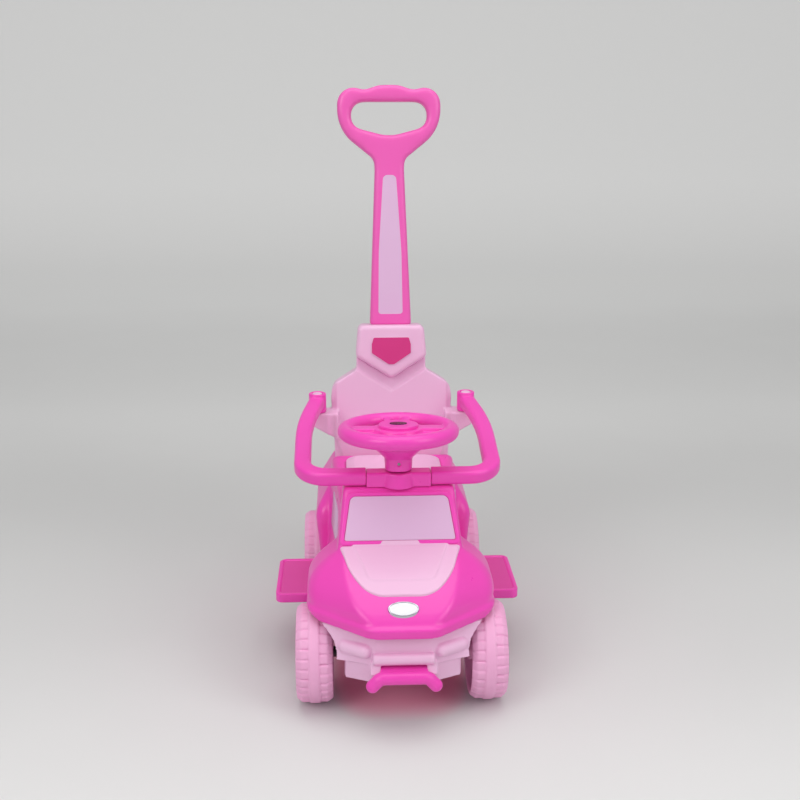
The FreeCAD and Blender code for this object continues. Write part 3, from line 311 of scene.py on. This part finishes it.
# Skins: grain size in millimetres and bump strength
SMOOTH_SKIN = (1.2, 0.05)
FILM_SKIN = (0.9, 0.03)
RESIN_SKIN = (0.9, 0.02)
WHEEL_SKIN = (1.6, 0.1)
NYLON_SKIN = (1.4, 0.12)
GRAINED_SKIN = (2.2, 0.35)

# Places of the colour sockets in a colour mix node
MIX_FIRST = 6
MIX_SECOND = 7
MIX_RESULT = 2


def linear(code):
    """sRGB hex as the linear colour that shaders take."""
    parts = [int(code[i:i + 2], 16) / 255 for i in (1, 3, 5)]
    return [c / 12.92 if c <= 0.04045 else ((c + 0.055) / 1.055) ** 2.4 for c in parts] + [1.0]


def per_metre(size):
    """Texture scale that gives a pattern of that size in millimetres."""
    return 1000 / size


def add_node(tree, kind, inputs=(), **settings):
    """Adds a node with its settings, values and links; a link is a node and its output's name."""
    made = tree.nodes.new(kind)
    for name, value in settings.items():
        setattr(made, name, value)
    for name, value in inputs:
        if isinstance(value, tuple) and isinstance(value[1], str):
            tree.links.new(value[0].outputs[value[1]], made.inputs[name])
        else:
            made.inputs[name].default_value = value
    return made


def start_material(name):
    """New material with its surface shader and object coordinates."""
    material = bpy.data.materials.new(name)
    material.use_nodes = True
    tree = material.node_tree
    return material, tree, tree.nodes["Principled BSDF"], add_node(tree, "ShaderNodeTexCoord")


def noise(tree, place, size, detail):
    """Noise with spots of one size."""
    return add_node(tree, "ShaderNodeTexNoise", [("Vector", (place, "Object")), ("Scale", per_metre(size)),
                                                 ("Detail", detail)])


def two_tone(tree, shader, pattern, main, other):
    """Base colour that drifts between two tones with a pattern."""
    tint = add_node(tree, "ShaderNodeMix", [("Factor", (pattern, "Fac"))], data_type="RGBA")
    tint.inputs[MIX_FIRST].default_value = linear(main)
    tint.inputs[MIX_SECOND].default_value = linear(other)
    tree.links.new(tint.outputs[MIX_RESULT], shader.inputs["Base Color"])


def uneven_gloss(tree, shader, pattern, gloss):
    """Roughness that drifts through a range with a pattern."""
    rough = add_node(tree, "ShaderNodeMapRange", [("Value", (pattern, "Fac")), ("To Min", gloss[0]),
                                                  ("To Max", gloss[1])])
    tree.links.new(rough.outputs["Result"], shader.inputs["Roughness"])


def moulded_plastic(name, main, other, gloss, skin):
    """Moulded plastic: faint flow clouds in the colour, fine skin grain, uneven satin gloss."""
    grain, depth = skin
    material, tree, shader, place = start_material(name)
    clouds = noise(tree, place, CLOUD_SIZE, detail=3.0)
    clouds.inputs["Roughness"].default_value = 0.55
    two_tone(tree, shader, clouds, main, other)
    scuffs = noise(tree, place, SCUFF_SIZE, detail=5.0)
    uneven_gloss(tree, shader, scuffs, gloss)
    pores = noise(tree, place, grain, detail=2.0)
    bump = add_node(tree, "ShaderNodeBump", [("Height", (pores, "Fac")), ("Strength", depth),
                                             ("Distance", GRAIN_HEIGHT)])
    tree.links.new(bump.outputs["Normal"], shader.inputs["Normal"])
    shader.inputs["IOR"].default_value = PLASTIC_IOR
    return material


def plated_metal(name, main, other, gloss):
    """Plated metal: mottled grey with uneven shine."""
    material, tree, shader, place = start_material(name)
    mottle = noise(tree, place, MOTTLE_SIZE, detail=4.0)
    two_tone(tree, shader, mottle, main, other)
    uneven_gloss(tree, shader, mottle, gloss)
    shader.inputs["Metallic"].default_value = 1.0
    return material


strong_pink = moulded_plastic("strong_pink_polypropylene", "#F243B8", "#F44CBD", GLOSSY, SMOOTH_SKIN)
# The handle's pink is the strong pink made lighter: painted sheen of the lit handle.
handle_pink_painted_sheen = moulded_plastic("strong_pink_polypropylene_handle_painted_sheen", "#EE5CB6", "#F064BB", GLOSSY, SMOOTH_SKIN)
deep_pink = moulded_plastic("strong_pink_polypropylene_grained", "#E048A6", "#E550AC", DULL, GRAINED_SKIN)
pale_pink = moulded_plastic("pale_pink_polypropylene", "#ECBADC", "#EFC0E0", SATIN, SMOOTH_SKIN)
wheel_pink = moulded_plastic("pale_pink_polyethylene", "#EFA9D3", "#F2B2D8", WHEEL_GLOSS, WHEEL_SKIN)
lilac_film = moulded_plastic("lilac_printed_film", "#DFB6DA", "#E1BBDD", FILM_GLOSS, FILM_SKIN)
film_edge = moulded_plastic("white_film_edge", "#F2DDEE", "#F5E4F2", FILM_GLOSS, FILM_SKIN)
crimson_film = moulded_plastic("crimson_foil", "#D23381", "#D83D88", GLOSSY, FILM_SKIN)
white_film = moulded_plastic("white_domed_resin", "#EEEEF2", "#F4F4F6", RESIN_GLOSS, RESIN_SKIN)
dark_film = moulded_plastic("dark_domed_resin", "#2A2830", "#33313A", RESIN_GLOSS, RESIN_SKIN)
black_nylon = moulded_plastic("black_nylon", "#17161A", "#1E1D21", NYLON_GLOSS, NYLON_SKIN)
steel = plated_metal("zinc_plated_steel", "#8E8E94", "#A8A8AC", STEEL_GLOSS)
chrome = plated_metal("chromed_trim", "#B9B9C4", "#C9C9D2", CHROME_GLOSS)


# Body shell: nose, dash, waist and rear melted into one moulding, with the wheel arches cut out

def nose_half(crease_x, crease_y, crease_run, side_x, side_y, side_run):
    """Left half of an outline of the nose: crease, fender and the end inside the waist."""
    fender_rear_y = -112
    end_x = 88
    end_y = -84
    return [(crease_x, crease_y, crease_run), (side_x, side_y, side_run),
            (side_x, fender_rear_y, side_run / 2), (end_x, end_y, SHARP)]


def bonnet_levels():
    """Outlines of bonnet and front fenders from the ridge up to the cowl, bowed through the shoulder."""
    # Rows hold what nose_half takes
    ridge = (46, -282, 12, 136, -206, 18)
    shoulder = (70, -256, 8, 137, -190, 18)
    cowl = (84, -164, 2, 86, -158, 2)
    middle = (SHOULDER_Z - RIDGE_Z) / (COWL_Z - RIDGE_Z)
    steps = 10
    levels = []
    for i in range(steps + 1):
        share = i / steps
        near_ridge = (share - middle) * (share - 1) / middle
        near_middle = share * (share - 1) / (middle * (middle - 1))
        near_cowl = share * (share - middle) / (1 - middle)
        row = [near_ridge * a + near_middle * b + near_cowl * c for a, b, c in zip(ridge, shoulder, cowl)]
        levels.append((RIDGE_Z + (COWL_Z - RIDGE_Z) * share, nose_half(*row)))
    return levels


def bonnet(rise):
    """Bonnet alone, lifted off itself along its slope."""
    return moved(stacked(bonnet_levels()), 0, -rise / 2, rise)


def nose():
    """Lip with a narrow ledge on top, from which the bonnet rises."""
    foot = nose_half(46, -286, 12, 138, -208, 18)
    edge = nose_half(47, -288, 12, 140, -208, 18)
    edge_drop = 4
    ledge = nose_half(46.5, -286.5, 12, 138.5, -207, 18)
    ledge_drop = 1
    lip = [(LIP_Z, foot), (RIDGE_Z - edge_drop, edge), (RIDGE_Z - ledge_drop, ledge)]
    return stacked(lip + bonnet_levels())


def dash():
    """Block behind the windscreen, narrower at the top."""
    top_z = 314
    foot = [(94, SCREEN_FOOT_Y, 7), (94, -60, 7)]
    top = [(84, -116, 7), (84, -80, 7)]
    bm = stacked([(SCREEN_FOOT_Z, foot), (top_z, top)])
    return eased(bm, run=6, wanted=level_edge(top_z))


def flanks(grown):
    """Narrow middle that the child sits astride, as a plain block."""
    def outline(front_half, rear_half):
        front_y = -100
        rear_y = 158
        corner = 14
        return [(front_half + grown, front_y - grown, corner), (rear_half + grown, rear_y + grown, corner)]

    foot = outline(front_half=92, rear_half=122)
    top = outline(front_half=88, rear_half=106)
    return ruled((SILL_Z, foot), (SEAT_Z, top))


def waist():
    """The same with a soft edge, the seat's pocket and the bin."""
    pocket = [(80.8, -40.8, 28), (80.8, 146.8, 28)]
    pocket_floor_z = 271
    bin_low = (-66, -30, 165)
    bin_high = (66, 136, ABOVE_SEAT_Z)
    bm = eased(flanks(grown=0), run=8, wanted=level_edge(SEAT_Z))
    bm = carved(bm, prism(pocket, pocket_floor_z, ABOVE_SEAT_Z))
    return carved(bm, box(bin_low, bin_high))


def rear():
    """Rear fenders, rising to the deck that carries the backrest."""
    side_z = 195
    foot = [(126, 85, 16), (126, 302, 26)]
    side = [(134, 85, 16), (134, 302, 26)]
    deck = [(100, 125, 14), (100, 282, 14)]
    bm = stacked([(SILL_Z, foot), (side_z, side), (DECK_Z, deck)])
    eased(bm, run=14, wanted=level_edge(side_z), segments=5)
    return eased(bm, run=9, wanted=level_edge(DECK_Z))


def wheel_space(axle_y, angle):
    """Room for one left wheel, turned about its kingpin by an angle in degrees."""
    bm = drum(ARCH_RADIUS, (WHEEL_INNER_X, axle_y, AXLE_Z), (ARCH_OUTER_X, axle_y, AXLE_Z))
    return turned(bm, (KINGPIN_X, axle_y, AXLE_Z), math.radians(angle), "Z")


def clear_of_front_wheels(bm):
    """The shape without the room that the steered wheels need."""
    for angle in STEERED_ANGLES:
        bm = carved_both(bm, wheel_space(FRONT_AXLE_Y, angle))
    return bm


def body_shell():
    shell = clear_of_front_wheels(nose())
    back = carved_both(rear(), wheel_space(REAR_AXLE_Y, angle=0))
    for shape in (dash(), waist(), back):
        add_shape(shell, shape)
    return moulded(shell, grain=2.5, passes=2)


piece("shell", body_shell(), "car", strong_pink, ["body_shell"])


# Bonnet panel and badge, which follow the bonnet

PLATE_LOW_Z = 150
PLATE_HIGH_Z = 260
PLATE_ROOT = 4


def on_screen(bm):
    """From a flat frame, with Y up the windscreen's slope, to the windscreen."""
    upwards = Vector(SCREEN_UPWARDS).normalized()
    outwards = Vector(SCREEN_OUTWARDS).normalized()
    turn = Matrix((Vector((1, 0, 0)), upwards, outwards)).transposed().to_4x4()
    foot = Matrix.Translation(at(0, SCREEN_FOOT_Y, SCREEN_FOOT_Z))
    bmesh.ops.transform(bm, matrix=foot @ turn, verts=bm.verts)
    return bm


def on_bonnet(outline, rise):
    """Plate on the bonnet within an upright block; its root is hidden in the shell."""
    return carved(carved(bonnet(rise), outline, "INTERSECT"), bonnet(-PLATE_ROOT))


def hood_panel():
    """Pale panel with a raised middle and tabs up the windscreen."""
    whole = [(44, -248, 17), (73, -218, 20), (91, -158, SHARP)]
    middle = [(47, -227, 8), (72, -158, SHARP)]
    wide_tab = [(73, 4, 1), (72, 15, 4)]
    narrow_tab = [(30, 4, 1), (29, 19.5, 3)]
    tab_root = -3
    tab_rise = 2.4
    plate = on_bonnet(prism(whole, PLATE_LOW_Z, PLATE_HIGH_Z), rise=2.5)
    add_shape(plate, on_bonnet(prism(middle, PLATE_LOW_Z, PLATE_HIGH_Z), rise=3.8))
    for tab in (wide_tab, narrow_tab):
        add_shape(plate, on_screen(prism(tab, tab_root, tab_rise)))
    return moulded(plate, grain=1.1, passes=3)


def oval(half_x, half_y):
    """Upright block with the badge's oval outline, stretched from a drum of one metre."""
    unit_radius = 1000
    centre_y = -265
    bm = drum(unit_radius, (0, 0, PLATE_LOW_Z), (0, 0, PLATE_HIGH_Z), sides=96)
    bmesh.ops.scale(bm, vec=(mm(half_x), mm(half_y), 1), verts=bm.verts)
    return moved(bm, 0, centre_y, 0)


def badge_plate():
    plate = on_bonnet(oval(half_x=20.4, half_y=7.4), rise=1.8)
    return moulded(plate, grain=0.6, passes=2)


def badge_rim():
    rim = on_bonnet(oval(half_x=22, half_y=8.6), rise=2.1)
    return moulded(carved(rim, oval(half_x=20.2, half_y=7.2)), grain=0.5, passes=1)


piece("bonnet_panel", hood_panel(), "car", pale_pink, ["hood_panel"])
piece("bonnet_oval", badge_plate(), "car", white_film, ["oval_badge"])
piece("bonnet_oval_rim", badge_rim(), "car", chrome)


# Surround of the windscreen film, which lies in it

def screen_surround():
    outside = prism([(90, 13, 6), (80.5, 93, 12)], low=-2, high=2.2)
    window = prism([(84, 19.2, 4), (74, 87.3, 10)], low=-10, high=10)
    return on_screen(moulded(carved(outside, window), grain=0.8, passes=2))


piece("windscreen_surround", screen_surround(), "car", strong_pink)


# Films on the flanks of the waist

def side_film():
    """Left film: a skin over the waist, within an outline seen from the side."""
    outline = [(60, 190, 5), (46, 252, 5)]
    inner_x = 70
    outer_x = 130
    middle_y = -2
    proud = 1.3
    sunk = 2
    bm = prism(outline, inner_x, outer_x)
    on_side = Matrix(((0, 0, 1), (1, 0, 0), (0, 1, 0))).to_4x4()
    bmesh.ops.transform(bm, matrix=Matrix.Translation(at(0, middle_y, 0)) @ on_side, verts=bm.verts)
    bm = carved(bm, flanks(proud), "INTERSECT")
    return carved(bm, flanks(-sunk))


for side, sign in SIDES:
    film = side_film() if sign > 0 else mirrored(side_film())
    piece("side_film_" + side, film, "car", lilac_film, ["side_panel_" + side])


# Backrest with a sunk band along the headrest and soft borders

def backrest_dent(depth, height, side):
    """How far the front is set back at a place behind, above and beside the backrest's foot."""
    band_depth = 5
    band_height = 132
    band_slope = 0.634
    border_depth = 4
    edge_width = 7
    panel_top_half = 94
    taper_from = 55
    taper = 0.3
    panel_half = panel_top_half - taper * max(0, taper_from - height)
    band = band_depth * ease((height - band_height - band_slope * side) / edge_width)
    border = border_depth * ease((side - panel_half) / edge_width)

    front_depth = 4
    front_fade = 12
    foot_height = 2
    foot_fade = 10
    wing_side = 105
    wing_fade = 6
    near_front = 1 - ease((depth - front_depth) / front_fade)
    above_foot = ease((height - foot_height) / foot_fade)
    inside_wings = 1 - ease((side - wing_side) / wing_fade)
    reach = near_front * above_foot * inside_wings
    return reach * max(band, border)


def backrest():
    skin = moulded(cad_copy("backrest"), grain=1.8, passes=3)
    backwards = Vector((0, math.cos(BACK_LEAN), -math.sin(BACK_LEAN)))
    for vert in skin.verts:
        behind = vert.co - at(0, BACK_Y, DECK_Z)
        depth = in_mm(behind.dot(backwards))
        height = in_mm(behind.y * math.sin(BACK_LEAN) + behind.z * math.cos(BACK_LEAN))
        side = in_mm(abs(vert.co.x))
        vert.co += backwards * mm(backrest_dent(depth, height, side))
    return skin


piece("backrest_skin", backrest(), "car", pale_pink, ["backrest"])


# Bumper: bowed face over an apron, with lamp pods, a tube and the two pads beside the bull bar

def bumper_half(face_y, side_x, side_y):
    """Left half of the bumper's outline: middle, wing and the wall of the wheel well behind it."""
    middle_half = 44
    middle_run = 8
    side_run = 4
    wing = 9
    wing_run = 1
    well_x = 78.3
    well_y = -240.2
    return [(middle_half, face_y, middle_run), (side_x, side_y, side_run),
            (side_x - wing, side_y + wing, wing_run), (well_x, well_y, SHARP)]


def pod():
    """Left lamp pod, round at both ends."""
    radius = 10
    inner = (56, -269, 121.8)
    outer = (84, -251, 121.8)
    bm = drum(radius, inner, outer, sides=32)
    for end in (inner, outer):
        ball = bmesh.new()
        bmesh.ops.create_uvsphere(ball, u_segments=32, v_segments=16, radius=mm(radius),
                                  matrix=Matrix.Translation(at(*end)))
        add_shape(bm, ball)
    return bm


def bumper():
    face_foot = (102.8, bumper_half(face_y=-275, side_x=101, side_y=-256))
    face_top = (146.8, bumper_half(face_y=-270, side_x=119, side_y=-224))
    apron_foot = (72.8, bumper_half(face_y=-271, side_x=90, side_y=-250))
    apron_top = (104, bumper_half(face_y=-275, side_x=92, side_y=-252))
    pad_middle = (40, -275, 98)
    pad_lean = math.radians(-24)
    tube_radius = 8.5
    tube_right = (-44, -279, 113.4)
    tube_left = (44, -279, 113.4)
    skin = clear_of_front_wheels(ruled(face_foot, face_top))
    apron = clear_of_front_wheels(ruled(apron_foot, apron_top))
    pad = turned(box(low=(33, -285, 88), high=(48, -266, 108)), pad_middle, pad_lean, "X")
    tube = drum(tube_radius, tube_right, tube_left, sides=32)
    for shape in (apron, tube, pod(), mirrored(pod()), pad, mirrored(pad)):
        add_shape(skin, shape)
    return moulded(skin, grain=1.3, passes=2)


piece("bumper_skin", bumper(), "car", pale_pink, ["front_bumper"])


# Bull bar with the flat root that joins it to the bumper

def bull_bar():
    root_middle = (0, -281, 95)
    root_lean = math.radians(6)
    root = turned(box(low=(-34, -292, 88), high=(34, -270, 101)), root_middle, root_lean, "X")
    return moulded(add_shape(cad_copy("bull_bar"), root), grain=1.0, passes=3)


piece("bull_bar_skin", bull_bar(), "car", strong_pink, ["bull_bar"])


# Push handle, whose grip ring has a round section

def push_handle():
    ring_from_z = 790
    skin = moulded(cad_copy("push_handle"), grain=2.0, passes=3)
    ring = [v for v in skin.verts if v.co.z > mm(ring_from_z)]
    return smoothed(skin, ring, passes=24)


piece("push_handle_skin", push_handle(), "push_handle", handle_pink_painted_sheen, ["push_handle"])


# Steering wheel, flared where its sleeve meets the hub

def steering_wheel():
    sleeve_radius = 21
    hub_radius = 39
    flare_height = 17
    flare_above_foot = 29
    flare = bmesh.new()
    bmesh.ops.create_cone(flare, cap_ends=True, segments=64, radius1=mm(sleeve_radius),
                          radius2=mm(hub_radius), depth=mm(flare_height))
    moved(flare, 0, 0, flare_above_foot)
    turned(flare, (0, 0, 0), -COLUMN_LEAN, "X")
    moved(flare, *COLUMN_FOOT)
    return moulded(add_shape(cad_copy("steering_wheel"), flare), grain=1.5, passes=4)


piece("steering_wheel_skin", steering_wheel(), "steering", strong_pink, ["steering_wheel"])


# Wheels with tread blocks that lap like shingles

TREAD_BLOCKS = 30
TREAD_RADIUS = 73


def tread_lift(turn):
    """How far the tread rises at a place round the wheel, counted in blocks from a groove."""
    pitch = math.tau * TREAD_RADIUS / TREAD_BLOCKS
    lap_height = 1.5
    lap_middle = 0.6
    groove_depth = 1.4
    groove_half = 1.3
    from_groove = ((turn + 0.5) % 1 - 0.5) * pitch
    groove = groove_depth * math.exp(-(from_groove / groove_half) ** 2)
    return lap_height * (turn % 1 - lap_middle) - groove


def wheel(name, sign, axle_y):
    """Wheel with its blocks in two rows beside a middle rib, half a block apart."""
    tread_from = 66
    rib_half = 8.5
    skin = moulded(cad_copy(name), grain=1.35, passes=2)
    for vert in skin.verts:
        out = (in_mm(vert.co.x) - sign * WHEEL_X) * sign
        y = in_mm(vert.co.y) - axle_y
        z = in_mm(vert.co.z) - AXLE_Z
        radius = math.hypot(y, z)
        if radius > tread_from and abs(out) > rib_half:
            half_step = 0 if out > 0 else 0.5
            turn = math.atan2(y, z) / math.tau * TREAD_BLOCKS + half_step
            grow = 1 + tread_lift(turn) / radius
            vert.co.y = mm(axle_y + y * grow)
            vert.co.z = mm(AXLE_Z + z * grow)
    return skin


for side, sign in SIDES:
    for axle, axle_y in AXLES:
        name = "wheel_%s_%s" % (axle, side)
        body = "%s_wheel_%s" % (axle, side)
        piece(name + "_skin", wheel(name, sign, axle_y), body, wheel_pink, [name])


# Other mouldings keep the CAD's form, with soft edges

def soft_node(name, body, material, grain, passes):
    piece(name + "_skin", moulded(cad_copy(name), grain, passes), body, material, [name])


soft_node("dash_bracket", "car", strong_pink, grain=1.2, passes=3)
soft_node("headrest", "car", pale_pink, grain=1.8, passes=4)
soft_node("seat_lid", "seat_lid", pale_pink, grain=1.5, passes=4)
for side, _ in SIDES:
    soft_node("guard_arm_" + side, "guard_arm_" + side, strong_pink, grain=1.6, passes=3)
    soft_node("footrest_" + side, "car", strong_pink, grain=1.3, passes=2)


# Thin sheets on the broad faces of films and footrests

def inlay(node, facing, body, material, margin, rise):
    """Sheet on a node's broadest face that looks one way, set in from its edge."""
    alike = 0.99
    digits = 4
    facing = Vector(facing).normalized()
    bm = cad_copy(node)
    areas = {}
    for face in bm.faces:
        if face.normal.dot(facing) > alike:
            level = round(face.calc_center_median().dot(facing), digits)
            areas[level] = areas.get(level, 0) + face.calc_area()
    broad = max(areas, key=areas.get)
    rest = [f for f in bm.faces if f.normal.dot(facing) <= alike
            or round(f.calc_center_median().dot(facing), digits) != broad]
    bmesh.ops.delete(bm, geom=rest, context="FACES")
    bmesh.ops.dissolve_faces(bm, faces=bm.faces)
    edge = bmesh.ops.inset_region(bm, faces=bm.faces, thickness=mm(margin), use_even_offset=True)
    bmesh.ops.delete(bm, geom=edge["faces"], context="FACES")
    raised = bmesh.ops.extrude_face_region(bm, geom=bm.faces)
    top = [v for v in raised["geom"] if isinstance(v, bmesh.types.BMVert)]
    bmesh.ops.translate(bm, vec=facing * mm(rise), verts=top)
    bmesh.ops.recalc_face_normals(bm, faces=bm.faces)
    obj = piece(node + "_sheet", bm, body, material)
    obj.data.polygons.foreach_set("use_smooth", [False] * len(obj.data.polygons))


UPWARDS = (0, 0, 1)
LEANING = (0, -math.cos(BACK_LEAN), math.sin(BACK_LEAN))
inlay("handle_decal", LEANING, "push_handle", lilac_film, margin=1.6, rise=0.2)
inlay("shield_badge", LEANING, "car", crimson_film, margin=1.4, rise=0.3)
inlay("windscreen_panel", SCREEN_OUTWARDS, "car", lilac_film, margin=1.2, rise=0.2)
for side, _ in SIDES:
    inlay("footrest_" + side, UPWARDS, "car", deep_pink, margin=1.0, rise=0.4)


# Carried-over CAD nodes get the finish of what they are made of

FINISHES = (
    (pale_pink, ("lower_body", "backrest_cover")),
    (strong_pink, ("steering_hub_cover",)),
    (film_edge, ("windscreen_panel", "handle_decal", "shield_badge")),
    (dark_film, ("steering_badge",)),
    (black_nylon, ("tie_rod", "knuckle_left", "knuckle_right", "rear_spacers")),
    (steel, ("steering_column", "rear_axle", "column_screw")),
)


def dress(name, material):
    for slot in nodes[name].material_slots:
        slot.material = material


for material, names in FINISHES:
    for name in names:
        dress(name, material)
for name in nodes:
    if name.startswith("hub_cap_"):
        dress(name, wheel_pink)
    elif name.startswith(("axle_nut_", "kingpin_clip_")) or name.endswith("_screws"):
        dress(name, steel)


# Studio: pale sweep, soft light and the photograph's camera, in metres

def paper():
    """Pale paper with painted shade and light along its depth, a painted rose shadow with pink bounce light
    under the car, and a faint painted glow far off.
    """
    fibre_drift = 0.2
    bounce_spread = (9.0, 4.0, 0.0)
    material, tree, shader, place = start_material("pale_paper")
    shader.inputs["Roughness"].default_value = 0.9
    fibres = noise(tree, place, FIBRE_SIZE, detail=2.0)
    depth = add_node(tree, "ShaderNodeSeparateXYZ", [("Vector", (place, "Object"))])
    drift = add_node(tree, "ShaderNodeMath", [(0, (fibres, "Fac")), (1, fibre_drift), (2, (depth, "Y"))],
                     operation="MULTIPLY_ADD")
    along = add_node(tree, "ShaderNodeMapRange", [("Value", (drift, "Value")), ("From Min", -0.5),
                                                  ("From Max", 3.5)])
    # Painted shade and light: the ramp darkens the paper in a band part way back, where the studio light
    # falls off, and lightens it far off.
    shade = add_node(tree, "ShaderNodeValToRGB", [("Fac", (along, "Result"))])
    shade.color_ramp.interpolation = "EASE"
    for stop, code in zip(shade.color_ramp.elements, ("#E4E4E3", "#F8F8F7")):
        stop.color = linear(code)
    for share, code in ((0.18, "#D4D4D3"), (0.32, "#CECECD"), (0.52, "#E0E0DF")):
        shade.color_ramp.elements.new(share).color = linear(code)

    # Painted rose shadow and pink bounce light: the paper turns rose under the car's footprint.
    spread = add_node(tree, "ShaderNodeVectorMath", [(0, (place, "Object")), (1, bounce_spread)],
                      operation="MULTIPLY")
    square = add_node(tree, "ShaderNodeVectorMath", [(0, (spread, "Vector")), (1, (spread, "Vector"))],
                      operation="MULTIPLY")
    boxy = add_node(tree, "ShaderNodeVectorMath", [(0, (square, "Vector")), (1, (square, "Vector"))],
                    operation="DOT_PRODUCT")
    under = add_node(tree, "ShaderNodeMapRange", [("Value", (boxy, "Value")), ("From Min", 0.3),
                                                  ("From Max", 1.2), ("To Min", 1.0), ("To Max", 0.0)],
                     interpolation_type="SMOOTHSTEP")
    painted_bounce = add_node(tree, "ShaderNodeMix", [("Factor", (under, "Result"))], data_type="RGBA")
    tree.links.new(shade.outputs["Color"], painted_bounce.inputs[MIX_FIRST])
    painted_bounce.inputs[MIX_SECOND].default_value = linear("#EFA0B8")
    tree.links.new(painted_bounce.outputs[MIX_RESULT], shader.inputs["Base Color"])

    far = add_node(tree, "ShaderNodeMapRange", [("Value", (depth, "Y")), ("From Min", 2.5),
                                                ("From Max", 5.5), ("To Max", 0.15)])
    rays = add_node(tree, "ShaderNodeLightPath")
    glow = add_node(tree, "ShaderNodeMath", [(0, (far, "Result")), (1, (rays, "Is Camera Ray"))],
                    operation="MULTIPLY")
    tree.links.new(glow.outputs["Value"], shader.inputs["Emission Strength"])
    return material


def sweep():
    """Floor that curves up into a backdrop."""
    half = 8.0
    height = 9
    near_back = 7
    near_floor = 1
    curve_in_mm = 4000
    bm = bmesh.new()
    bmesh.ops.create_grid(bm, x_segments=1, y_segments=1, size=half)
    back = [e for e in bm.edges if all(v.co.y > near_back for v in e.verts)]
    raised = bmesh.ops.extrude_edge_only(bm, edges=back)
    top = [v for v in raised["geom"] if isinstance(v, bmesh.types.BMVert)]
    bmesh.ops.translate(bm, vec=(0, 0, height), verts=top)

    def fold(edge):
        return all(v.co.y > near_back and v.co.z < near_floor for v in edge.verts)

    eased(bm, curve_in_mm, fold, segments=24)
    mesh = bpy.data.meshes.new("sweep")
    bm.to_mesh(mesh)
    mesh.polygons.foreach_set("use_smooth", [True] * len(mesh.polygons))
    obj = bpy.data.objects.new("sweep", mesh)
    bpy.context.collection.objects.link(obj)
    mesh.materials.append(paper())


sweep()


def lamp(name, place, target, size, power):
    """Soft square lamp aimed at a point."""
    data = bpy.data.lights.new(name, "AREA")
    data.size = size
    data.energy = power
    obj = bpy.data.objects.new(name, data)
    bpy.context.collection.objects.link(obj)
    obj.location = place
    obj.rotation_euler = (Vector(target) - Vector(place)).to_track_quat("-Z", "Y").to_euler()


lamp("overhead", (0.0, -0.3, 3.0), (0, 0, 0.3), size=2.6, power=37)
lamp("front_left", (-2.1, -2.3, 2.3), (0, 0, 0.4), size=1.8, power=33)
lamp("front_right", (2.3, -1.9, 2.1), (0, 0, 0.4), size=1.8, power=28)

world = bpy.data.worlds.new("studio")
bpy.context.scene.world = world
world.use_nodes = True
world.node_tree.nodes["Background"].inputs["Color"].default_value = linear("#F4F4F4")
world.node_tree.nodes["Background"].inputs["Strength"].default_value = 0.45

camera = bpy.data.cameras.new("camera")
camera.sensor_width = 36
camera.lens = 51.75
view = bpy.data.objects.new("camera", camera)
bpy.context.collection.objects.link(view)
view.location = (-0.0726, -1.7535, 0.905)
looking = Vector((0.0437, 0.9626, -0.2672))
view.rotation_euler = looking.to_track_quat("-Z", "Y").to_euler()
bpy.context.scene.camera = view
bpy.context.scene.view_settings.view_transform = "Standard"
